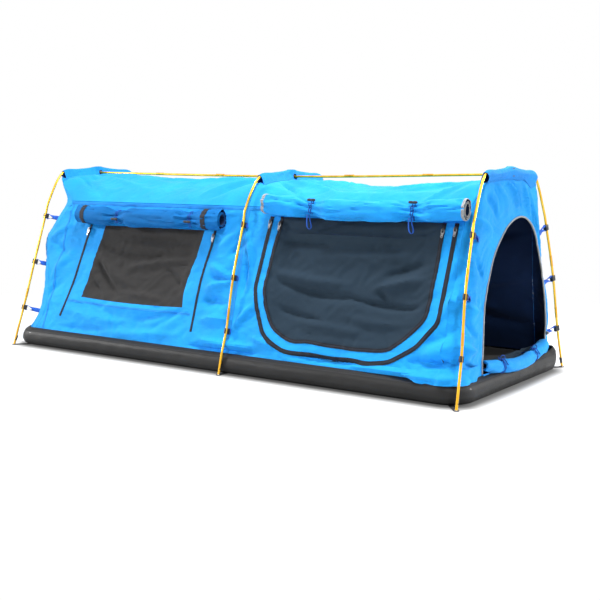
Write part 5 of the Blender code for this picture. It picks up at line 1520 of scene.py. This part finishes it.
def sew_foot_tabs():
    for name, start, foot in tab_places():
        length = (foot - start).length
        tip = arc_points(TAB_HALF, -1.5, 1.5, 17, length)
        low, high = np.array([(-0.002, -1.1 * TAB_HALF),
                              (length + 2 * TAB_HALF - 0.002, 1.1 * TAB_HALF)])
        piece, flat = cut_flat(f"foot_tab_{name}", low, high, (24, 6),
                               [(0.0, -TAB_HALF), *tip, (0.0, TAB_HALF)],
                               [arc_points(EYELET_HOLE, 0, math.tau, 25, length)[:-1]],
                               [black_webbing], TAB_THICK)
        along = (foot - start).to_3d().normalized()
        up = Vector((0, 0, 1))
        move_to(piece, np.array((*start, TAB_Z)) + flat @ np.array([along, up.cross(along), up]))
        dress(piece, black_webbing, slot="base_fabric")
        ring = torus(f"foot_eyelet_{name}", (*foot, EYELET_Z), EYELET_RING, EYELET_WIRE, (32, 10))
        dress(ring, zinc, slot="zip_metal")


PAD_HALVES = (TUB_LENGTH / 2 - 0.060, TUB_WIDTH / 2 - 0.045)
PAD_HIGH, PAD_SQUARENESS = 0.058, 0.22
# Where the pad's side begins and ends on the way from the middle of its foot to its top
PAD_SIDE = (0.30, 0.52)


def lay_mattress():
    side, top = PAD_SIDE

    def place(u, v):
        angle = u * math.tau
        ring = [np.sign(part) * np.abs(part) ** PAD_SQUARENESS
                for part in (np.cos(angle), np.sin(angle))]
        grow = np.maximum(np.abs(ring[0]), np.abs(ring[1]))
        up = np.clip((v - side) / (top - side), 0.0, 1.0)
        reach = np.where(v < side, v / side, np.where(v < top, 1.0, (1.0 - v) / (1.0 - top)))
        bulge = 0.004 * np.sin(math.pi * up) - 0.004
        pull = 0.0008 * np.cos(70 * angle) * np.where((v > 0.28) & (v < 0.60), 1.0, 0.0)
        x, y = [part / grow * (half * reach + bulge + pull)
                for part, half in zip(ring, PAD_HALVES)]
        crown = np.where(v > top, 1 - reach ** 6, 0.0)
        quilt = noise_at(x * 5.0, y * 5.0, 71.0) + 0.5 * noise_at(x * 18.0, y * 11.0, 73.0)
        return np.stack([x, y, 0.0023 + PAD_HIGH * up + crown * (0.005 + 0.0012 * quilt)], -1)

    pad = loft("foam_mattress_cover", 360, 60, place, (5.6, 1.2), [pad_cloth], 0.0, closed=True,
               stands_for=["foam_mattress"], slot="mattress")


form_tub()
drape_corner()
sew_foot_tabs()
lay_mattress()


# Hoop poles, ridge pole and their sleeves

# Each leg's joints and its end tip, and the joints along the ridge
FERRULE_HEIGHTS = (("low", 0.215), ("high", 0.430))
FERRULE_HALF, FERRULE_RADIUS = 0.021, POLE + 0.0006
TIP_MIDDLE, TIP_HALF, TIP_RADIUS = 0.029, 0.011, POLE + 0.0009
RIDGE_FERRULES = (-0.62, -0.28, 0.36, 0.70)


def stand_hoops():
    for hoop in HOOPS:
        line = hoop_line(hoop)
        line[0].z = line[-1].z = POLE_FOOT_Z
        tube(f"hoop_tube_{hoop}", line, POLE, gold, 6, stands_for=[f"hoop_pole_{hoop}"],
             slot="pole")
        near, far = range(len(line) // 2), range(len(line) - 2, len(line) // 2, -1)
        for level, height in FERRULE_HEIGHTS:
            for side, leg in (("near", near), ("far", far)):
                i = min(leg, key=lambda k: abs(line[k].z - height))
                collar(f"ferrule_{hoop}_{side}_{level}", line[i],
                       (line[i + 1] - line[i]).normalized(), FERRULE_HALF, FERRULE_RADIUS,
                       gold_joint, 6, "pole")
        for side, foot, after in (("near", line[0], line[1]), ("far", line[-1], line[-2])):
            up = (after - foot).normalized()
            collar(f"pole_tip_{hoop}_{side}", foot + up * TIP_MIDDLE, up, TIP_HALF, TIP_RADIUS,
                   plastic, 5, "black_plastic")


def ridge_z(hoop):
    return HOOP_TOP[hoop] - RIDGE_DROP


def stand_ridge():
    points = [Vector((hoop_top_x(hoop) - turn * POLE, 0.0, ridge_z(hoop)))
              for hoop, turn in zip(HOOPS, (-1, 0, 1))]
    tube("ridge_tube", smooth_line(points, 24), POLE, gold, 6, stands_for=["ridge_pole"],
         slot="pole")
    for i, x in enumerate(RIDGE_FERRULES):
        low, high = points[:2] if x < points[1].x else points[1:]
        middle = low + (high - low) * ((x - low.x) / (high.x - low.x))
        collar(f"ridge_ferrule_{i + 1}", middle, (high - low).normalized(), FERRULE_HALF,
               FERRULE_RADIUS, gold_joint, 6, "pole")


def crown_z(hoop, y):
    """The height of a hoop's middle line over its crown."""
    line = hoop_line(hoop)
    top = sorted((point.y, point.z) for point in line if point.z > SEAM_Z)
    return np.interp(y, [a for a, _ in top], [b for _, b in top])


# Across a sleeve, from over the pole to its edge: where the cloth lies on the roof, and
# where it hangs down an end wall instead, as places out from the pole and down from the top
SLEEVE_ACROSS = np.array([0.0, 0.15, 0.30, 0.50, 0.75, 1.0])
ROOF_OUT = np.array([0.0, 0.0050, 0.0095, 0.0145, 0.0220, 0.030])
ROOF_RISE = np.array([1.0, 0.97, 0.80, 0.45, 0.03, 0.0])
HUB_OUT = np.array([0.0, 0.0080, 0.0145, 0.0172, 0.0235, 0.030])
HUB_RISE = np.array([1.0, 1.0, 0.96, 0.50, 0.03, 0.0])
FACE_OUT = np.array([0.0, 0.0055, 0.0095, 0.0120, 0.0035, 0.0040])
FACE_FALL = np.array([0.0, 0.0008, 0.0045, 0.0130, 0.0, 0.0])
SLEEVE_HALF = 0.212
SLEEVE_SIZE = (0.43, 0.085)
SLEEVE_MOUTH, SLEEVE_MOUTH_X = 0.0125, 0.020


def sleeve_place(hoop, y, across):
    """A point of a hoop's sleeve at y and a share across, from -1 to 1 over the pole."""
    middle = hoop_top_x(hoop)
    away, side = np.abs(across), np.sign(across)
    hub = np.exp(-(y / 0.021) ** 4)
    top = crown_z(hoop, y) + POLE + 0.0030 + 0.0078 * np.exp(-(y / 0.046) ** 2)
    crease = (noise_at(y * 22.0 + across * 2.5, across * 2.2, middle + 81.0)
              + 0.6 * noise_at(y * 60.0, across * 3.0, middle + 87.0))
    loose = (1 - hub) * np.sin(math.pi * np.clip(away * 1.05, 0.0, 1.0))
    out = np.interp(away, SLEEVE_ACROSS, ROOF_OUT) * (1 - hub)
    out = out + np.interp(away, SLEEVE_ACROSS, HUB_OUT) * hub
    rise = eased(SLEEVE_ACROSS, ROOF_RISE, away) * (1 - hub)
    rise = rise + eased(SLEEVE_ACROSS, HUB_RISE, away) * hub
    x = middle + side * (out + 0.0022 * crease * loose)
    low = roof_z(x, y) + 0.0024
    z = low + (top - low) * rise + 0.0012 * crease * loose
    outward = {"foot": -1, "middle": 0, "head": 1}[hoop]
    if outward:
        wall = np.abs(end_x(hoop, roof_line(y) - 0.004) - middle)
        hang = 0.011 + 0.024 * np.exp(-((y - 0.165) / 0.040) ** 2) + 0.003 * crease
        face_out = eased(SLEEVE_ACROSS, FACE_OUT, away) + wall * fade(away - 0.35, 0.35)
        fall = eased(SLEEVE_ACROSS, FACE_FALL, away)
        edge = roof_line(y) - 0.002
        down = top - fall - (top - 0.0130 - edge) * fade(away - 0.45, 0.30)
        down = down - hang * fade(away - 0.66, 0.34)
        face = side == outward
        x = np.where(face, middle + outward * (face_out + 0.0016 * crease * loose), x)
        z = np.where(face, down, z)
    return np.stack([x, y, z], -1)


def sew_sleeves():
    for hoop in HOOPS:
        def place(u, v):
            return sleeve_place(hoop, (2 * u - 1) * SLEEVE_HALF, 2 * v - 1)

        piece = loft(f"sleeve_cloth_{hoop}", 170, 56, place, SLEEVE_SIZE, [sleeve_cloth], 0.0010,
                     stands_for=[f"pole_sleeve_{hoop}"], slot="canvas")
        # Each long edge gets a hem of the darker seam tape, which also paints the dark shadow line
        # under the sleeve's edge
        for edge, name in ((-1, "foot"), (1, "head")):
            def hem(u, v):
                point = sleeve_place(hoop, (2 * u - 1) * (SLEEVE_HALF - 0.001),
                                     edge * (0.975 - 0.055 * (1 - v)))
                return point + (edge * 0.0008, 0.0, 0.0010)

            loft(f"sleeve_shadow_hem_{hoop}_{name}", 170, 3, hem, (SLEEVE_SIZE[0], 0.005), [seam_cloth],
                 0.0008, slot="canvas")
        for inward in {"foot": (1,), "middle": (-1, 1), "head": (-1,)}[hoop]:
            open_sleeve(piece, hoop_top_x(hoop) + inward * SLEEVE_MOUTH_X, ridge_z(hoop))


def open_sleeve(piece, x, z):
    """The hole that the ridge pole and its ball leave a sleeve by."""
    nothing_selected()
    bpy.ops.mesh.primitive_uv_sphere_add(segments=32, ring_count=20, radius=SLEEVE_MOUTH,
                                         location=(x, 0.0, z))
    carve(piece, bpy.context.object)


stand_hoops()
stand_ridge()
sew_sleeves()


# Pole clips and their webbing

CLIP_SLOPES = {"low": 0.088, "mid": 0.292, "high": 0.495}
CLIP_WEBBING = 0.0092
CORNER_STEP = 0.0005


def clip_frames():
    """(name, point on the pole, towards the canopy, up the pole, distance to the cloth)."""
    for hoop in HOOPS:
        line = hoop_line(hoop, 3)
        for side, side_name in SIDES:
            for level, slope in CLIP_SLOPES.items():
                height = float(wall_z(slope))
                for low, high in zip(line, line[1:]):
                    if low.z <= height <= high.z:
                        break
                share = (height - low.z) / (high.z - low.z)
                point, up = low + (high - low) * share, (high - low).normalized()
                edge = point.x if hoop == "middle" else float(end_x(hoop, height))
                seam = Vector((edge, -float(wall_half(height)), height))
                if side > 0:
                    for item in (point, up, seam):
                        item.y = -item.y
                toward = seam - point
                toward -= up * toward.dot(up)
                reach = toward.length
                toward.normalize()
                if hoop != "middle":
                    reach += to_corner(hoop, height, side, point + toward * reach, toward)
                name = f"pole_clip_{hoop}_{side_name}_{level}"
                yield name, point, toward, up, reach


def to_corner(end, height, side, start, toward):
    """How much further than the sharp corner the rounded one lies."""
    round_ = float(corner_round(end, height))
    centre = Vector((float(end_x(end, height)) + INWARD[end] * round_,
                     side * (float(wall_half(height)) - round_)))
    for step in range(80):
        spot = start + toward * CORNER_STEP * step
        if (spot.to_2d() - centre).length < round_:
            return CORNER_STEP * step
    return 0.0


# A clip: its bore, its outside, half its height and its lug's end, with the webbing's slot
HOOK_BORE, HOOK_OUTER, HOOK_HALF = POLE + 0.00042, POLE + 0.0036, 0.0100
HOOK_END = HOOK_OUTER + 0.0055
SLOT_X, SLOT_HALF = (0.0098, 0.0119), 0.0051


def form_hook():
    """One clip, with its Z up the pole and its lug along X."""
    lug = [(HOOK_END - 0.001, -HOOK_OUTER * 0.88), (HOOK_END, -HOOK_OUTER * 0.75),
           (HOOK_END, HOOK_OUTER * 0.75), (HOOK_END - 0.001, HOOK_OUTER * 0.88)]
    rim = arc_points(HOOK_OUTER, math.radians(62), math.radians(298), 40)
    mouth = [(0.0, 0.0), *arc_points(0.02, math.radians(204), math.radians(284), 7)]
    piece = prism("pole_hook", [*rim, *lug], -HOOK_HALF, HOOK_HALF)
    cut(piece, arc_points(HOOK_BORE, 0, math.tau, 41)[:-1])
    cut(piece, mouth)
    cut(piece, box_outline(*SLOT_X, SLOT_HALF))
    modify(piece, "BEVEL", width=0.0007, segments=2, limit_method="ANGLE",
           angle_limit=math.radians(35))
    for level in (-0.0055, 0.0055):
        rib = torus("hook_rib", (0.0, 0.0, level), HOOK_OUTER, 0.0006, (48, 8))
        bpy.ops.object.transform_apply(location=True)
        cut(rib, mouth)
        cut(rib, box_outline(0.0040, 0.02, 0.02))
        only(piece)
        rib.select_set(True)
        bpy.ops.object.join()
    return piece


def box_outline(low, high, half):
    return [(low, -half), (high, -half), (high, half), (low, half)]


def hook_clips():
    shape = form_hook()
    table = coords(shape)
    for name, point, toward, up, _ in clip_frames():
        across = up.cross(toward)
        piece = placed_copy(f"{name}_hook", shape.data.copy())
        move_to(piece, np.array(point) + table @ np.array([toward, across, up]))
        paints(piece, plastic)
        dress(piece, plastic, name, [name], slot="black_plastic")
    bpy.data.objects.remove(shape, do_unlink=True)


def sew_clip_webbing():
    for name, point, toward, up, reach in clip_frames():
        loop = [(reach + 0.0015, 0.0012), (reach * 0.5 + 0.012, 0.0024), (0.0160, 0.0098),
                (0.0135, 0.0116), (0.0113, 0.0108), (0.0113, 0.0), (0.0113, -0.0108),
                (0.0135, -0.0116), (0.0160, -0.0098), (reach * 0.5 + 0.012, -0.0024),
                (reach + 0.0015, -0.0012)]
        line = np.array(smooth_line([(a, b, 0) for a, b in loop], 4))[:, :2]
        lengths = running_lengths(*line.T)
        across = up.cross(toward)

        def place(u, v):
            at = u * lengths[-1]
            a = np.interp(at, lengths, line[:, 0])
            b = np.interp(at, lengths, line[:, 1])
            turn = fade(a - 0.0155, reach - 0.0195) * math.pi / 2
            c = (v - 0.5) * (CLIP_WEBBING + 0.009 * np.sin(turn))
            rise = b * np.cos(turn) + c * np.sin(turn)
            swing = c * np.cos(turn) - b * np.sin(turn)
            return (np.array(point) + np.outer(a, toward) + np.outer(rise, up)
                    + np.outer(swing, across))

        piece = loft(f"{name}_webbing", len(line), 4, place, (lengths[-1], CLIP_WEBBING),
                     [strap_cloth], 0.0010, middle=0.5, body=None)
        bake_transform(piece)


hook_clips()
sew_clip_webbing()


# The rolled door and net at the head end


def roll_along(name, line, radius, turns, finishes, seed, length, stands_for, thickness,
               taper=0.0, tall=1.0):
    """Cloth rolled up along Y and gathered at its ties; line gives its middle."""
    table = np.array(line)
    ys = table[:, 1]

    def place(u, v):
        y = ys[0] + (ys[-1] - ys[0]) * u
        x, z = np.interp(y, ys, table[:, 0]), np.interp(y, ys, table[:, 2])
        turn = v * turns * math.tau
        shrink = np.where(v * turns < 0.98, 0.0004 * v * turns, 0.0042 * v * turns - 0.0022)
        gather, pleat = np.ones_like(y), np.zeros_like(y)
        for spot in TIE_PLACES:
            gather = gather - 0.30 * np.exp(-((y - spot) / 0.022) ** 2)
            pleat = pleat + np.exp(-((y - spot) / 0.045) ** 2)
        gather = gather * (1 - taper * (1 - fade(u, 0.16)))
        round_ = np.mod(turn, math.tau)
        wave = (0.0018 * noise_at(y * 17.0, round_ * 1.3, seed)
                + 0.0010 * noise_at(y * 46.0, round_ * 2.1, seed + 3.0)
                + 0.0026 * pleat * np.sin(6 * turn + 40 * y))
        size = radius * gather - shrink + np.where(v * turns < 1.0, wave - 0.0012, -0.0008)
        ends = np.clip(np.minimum(u, 1 - u) / 0.03, 0.0, 1.0)
        size = size * (0.90 + 0.10 * np.sqrt(ends))
        flat = 1 - 0.07 * np.exp(-((round_ - 1.5 * math.pi) / 0.7) ** 2)
        high = z + size * np.sin(turn) * flat * tall
        return np.stack([x + size * np.cos(turn), y, high], -1)

    return loft(name, int(length / 0.0055), int(turns * 40), place, (length, turns * radius * 6),
                finishes, thickness, stands_for=stands_for, slot="canvas")


def roll_line(y0, y1, x, z, curl, sag, out):
    """Middle points of a roll whose ends curl up and whose middle sags over the rim."""
    points = []
    for share in np.linspace(0.0, 1.0, 41):
        ends = abs(2 * share - 1) ** 6
        droop = math.sin(math.pi * share) ** 1.5
        points.append((x + out * droop, y0 + (y1 - y0) * share, z + curl * ends - sag * droop))
    return points


HEAD_ROLL = roll_line(-0.236, 0.300, 1.0500, 0.1000, 0.010, 0.019, 0.019)
MESH_ROLL = roll_line(-0.160, 0.280, 1.0151, 0.0840, 0.0, 0.0, -0.004)
TIE_PLACES = (-0.120, 0.165)
DOOR_ROLL_RADIUS, NET_ROLL_RADIUS = 0.0255, 0.016
NET_ROLL_MIDDLE = (1.0151, 0.0766)
TIE_RADIUS, TIE_END_RADIUS = 0.0019, 0.0016

# From each bow's knot: where its two loops and its two ends reach to
BOW_LOOPS = ((0.010, 0.022, 0.014), (0.008, -0.022, 0.012))
BOW_ENDS = ((0.026, 0.020, -0.018), (0.028, -0.014, -0.024))


def roll_head_door():
    roll_along("head_door_cover", HEAD_ROLL, DOOR_ROLL_RADIUS, 2.6, [roll_cloth, inner_face_painted_shade], 91.0,
               0.53, ["head_door_roll"], CANVAS, taper=0.22)
    roll_along("head_net_roll", MESH_ROLL, NET_ROLL_RADIUS, 2.2, [door_net], 97.0, 0.45,
               ["head_mesh_roll"], 0.0009, tall=1.45)


def tie_head_rolls():
    """Each tie goes round the door roll and the net roll, with a bow and two ends."""
    door = np.array(HEAD_ROLL)
    net_x, net_z = NET_ROLL_MIDDLE
    big, small = DOOR_ROLL_RADIUS * 0.80 + 0.0016, NET_ROLL_RADIUS * 0.82 + 0.0014
    for side, y in zip(("near", "far"), TIE_PLACES):
        x, z = [float(np.interp(y, door[:, 1], door[:, i])) for i in (0, 2)]
        points = [Vector((x + big * math.cos(turn), y, z + big * math.sin(turn)))
                  for turn in np.linspace(-0.62, 0.42, 15) * math.pi]
        points += [Vector((net_x + small * math.cos(turn), y + 0.002,
                           net_z + small * math.sin(turn)))
                   for turn in np.linspace(0.60, 1.42, 11) * math.pi]
        tube(f"head_tie_{side}", smooth_line([*points, points[0]], 2), TIE_RADIUS, cord_cloth, 3,
             slot="canvas")
        knot = Vector((x - 0.004, y, z + big + 0.001))
        for i, (dx, dy, dz) in enumerate(BOW_LOOPS):
            offs = ((0, 0, 0), (dx * 0.3, dy * 0.6, dz), (dx, dy, dz * 0.8),
                    (dx * 1.2, dy * 0.7, dz * 0.1), (0, 0, 0))
            tube(f"head_tie_bow_{side}_{i + 1}", smooth_line([knot + Vector(o) for o in offs], 6),
                 TIE_END_RADIUS, cord_cloth, 3, slot="canvas")
        for i, (dx, dy, dz) in enumerate(BOW_ENDS):
            end = [knot, knot + Vector((dx * 0.5, dy * 0.4, 0.004)), knot + Vector((dx, dy, dz))]
            end = smooth_line(end, 8)
            piece = tube(f"head_tie_end_{side}_{i + 1}", end, TIE_END_RADIUS, cord_cloth, 3,
                         slot="canvas")
            tuple(end[0])
            line_length(end)


def sew_sill():
    """The foot of the rolled door, sewn inside the tub's rim and led out under the roll."""
    path = np.array([(1.0448, 0.0615), (1.0448, 0.070), (1.0452, 0.0768), (1.0480, 0.0790),
                     (1.0520, 0.0786), (1.0560, 0.0772)])
    spots = np.linspace(0.0, 1.0, len(path))

    def place(u, v):
        y = -0.244 + 0.570 * u
        wave = 0.0008 * noise_at(y * 30.0, v * 3.0, 103.0)
        return np.stack([eased(spots, path[:, 0], v) + wave, y, eased(spots, path[:, 1], v)], -1)

    loft("door_sill_cloth", 90, 12, place, (0.57, 0.03), [canvas], 0.0010, slot="canvas")


roll_head_door()
sew_sill()
tie_head_rolls()


# Toggle cords and hanging loops of the covers


def tie_covers():
    turns = np.mod(np.linspace(0, math.tau, 61)[:-1] + math.pi, math.tau) - math.pi
    for cover, setting, proud in (("window", WINDOW_ROLL, 0.0015), ("door", DOOR_ROLL, 0.0020)):
        for side, tie in zip(("left", "right"), setting[3]):
            for part, off in (("a", -0.0045), ("b", 0.0045)):
                line = roll_place(np.full_like(turns, tie + off), turns,
                                  np.full_like(turns, -proud), setting, WINDOW_SEED)
                tube(f"{cover}_tie_{side}_{part}", [*line, line[0]], 0.0017, cord_cloth, 3,
                     slot="canvas")
    for side, tie in zip(("left", "right"), DOOR_ROLL[3]):
        hang_loop(side, tie)


def hang_loop(side, tie):
    """The loop of blue tape that a tied-up door leaves hanging under its roll."""
    lean = -0.009 if side == "left" else -0.004
    path = [(tie - 0.003, 0.532, 0.052), (tie - 0.007 + lean * 0.3, 0.515, 0.040),
            (tie - 0.010 + lean, 0.494, 0.018), (tie - 0.004 + lean, 0.487, 0.010),
            (tie + 0.003 + lean * 0.8, 0.496, 0.014), (tie + 0.004 + lean * 0.3, 0.515, 0.036),
            (tie + 0.004, 0.532, 0.048)]
    line = smooth_line([wall_place(*spot) for spot in path], 6)
    piece = ribbon(f"door_hanging_loop_{side}", line, Vector((1.0, -0.5, 0.15)), 0.0060,
                   strap_cloth)
    tuple(line[0])
    line_length(line)


def ribbon(name, line, flat_way, width, paint):
    """Tape along a line, with its width turned to lie as nearly as it can along flat_way."""
    last = len(line) - 1

    def place(u, v):
        table = []
        for i, off in zip(np.rint(u * last).astype(int), v - 0.5):
            along = (line[min(i + 1, last)] - line[max(i - 1, 0)]).normalized()
            across = (flat_way - along * along.dot(flat_way)).normalized()
            table.append(line[i] + across * off * width)
        return np.array(table)

    return loft(name, last, 3, place, (0.002 * len(line), width), [paint], 0.0011, slot="canvas")


tie_covers()


# Second sliders, on the door's inner zip, set down a little lower than the outer ones


def slide_inner_zip():
    drop = wall_place(0.0, -0.006, 0.0) - wall_place(0.0, 0.0, 0.0)
    for side, toward in (("left", 1), ("right", -1)):
        for part, paint in (("slider", dark_zinc), ("pull", zinc)):
            outer = bpy.data.objects[f"door_{side}_{part}"]
            piece = placed_copy(f"door_inner_{side}_{part}", outer.data.copy())
            move_to(piece, coords(piece) + drop + (toward * DOOR_BORDER, 0.0, 0.0))
            paints(piece, paint)
            dress(piece, paint, slot="zip_metal")


slide_inner_zip()


# Finishes of the parts kept from the solid model

KEPT = {"hub_": dark_plastic, "pole_clip_": plastic, "_toggle_": plastic, "slider": dark_zinc,
        "pull": zinc, "head_slider": zinc}


def finish_kept_parts():
    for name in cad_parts:
        piece = bpy.data.objects.get(name)
        if piece is None or piece.type != "MESH":
            continue
        for part, paint in KEPT.items():
            if part in name:
                for slot in piece.material_slots:
                    slot.material = paint


finish_kept_parts()


# What every sheet of cloth was cut to, and what it hangs from or lies on

CUT_SHEETS = (
    ("near_wall_canvas", (2.06, 0.58), 0.626, "stretched", ("roof_canvas", "tub_skin")),
    ("far_wall_canvas", (2.06, 0.58), 1.150, "stretched", ("roof_canvas", "tub_skin")),
    ("foot_wall_canvas", (0.87, 0.72), 0.525, "stretched", ("roof_canvas", "tub_skin")),
    ("head_wall_canvas", (0.87, 0.72), 0.252, "stretched", ("roof_canvas", "tub_skin")),
    ("roof_canvas", (2.06, 0.65), 1.280, "stretched", ("sleeve_cloth_foot", "sleeve_cloth_head")),
    ("window_net", (0.56, 0.33), 0.183, "hung", ("near_wall_canvas",)),
    ("door_net", (0.73, 0.47), 0.315, "hung", ("door_border_canvas",)),
    ("door_border_canvas", (0.045, 1.55), 0.069, "hung", ("near_wall_canvas",)),
    ("window_cover", (0.78, 0.445), 0.346, "folded", ("near_wall_canvas",)),
    ("door_cover", (0.83, 0.446), 0.370, "folded", ("near_wall_canvas",)),
    ("head_door_cover", (0.54, 0.326), 0.175, "folded", ("tub_skin",)),
    ("head_net_roll", (0.44, 0.208), 0.091, "folded", ("head_door_cover",)),
    ("door_sill_cloth", (0.57, 0.0285), 0.016, "laid", ("tub_skin",)),
    ("corner_drape_near_head", (0.33, 0.067), 0.0215, "draped", ("tub_skin",)),
    ("sleeve_cloth_foot", (0.43, 0.100), 0.0427, "stretched", ("hoop_tube_foot",)),
    ("sleeve_cloth_middle", (0.43, 0.101), 0.0430, "stretched", ("hoop_tube_middle",)),
    ("sleeve_cloth_head", (0.43, 0.114), 0.0484, "stretched", ("hoop_tube_head",)),
    ("tub_skin", (1.12, 2.35), 2.362, "stretched", ()),
)


def declare_sheets():
    for name, flat, area, held, rests_on in CUT_SHEETS:
        list(rests_on)


declare_sheets()
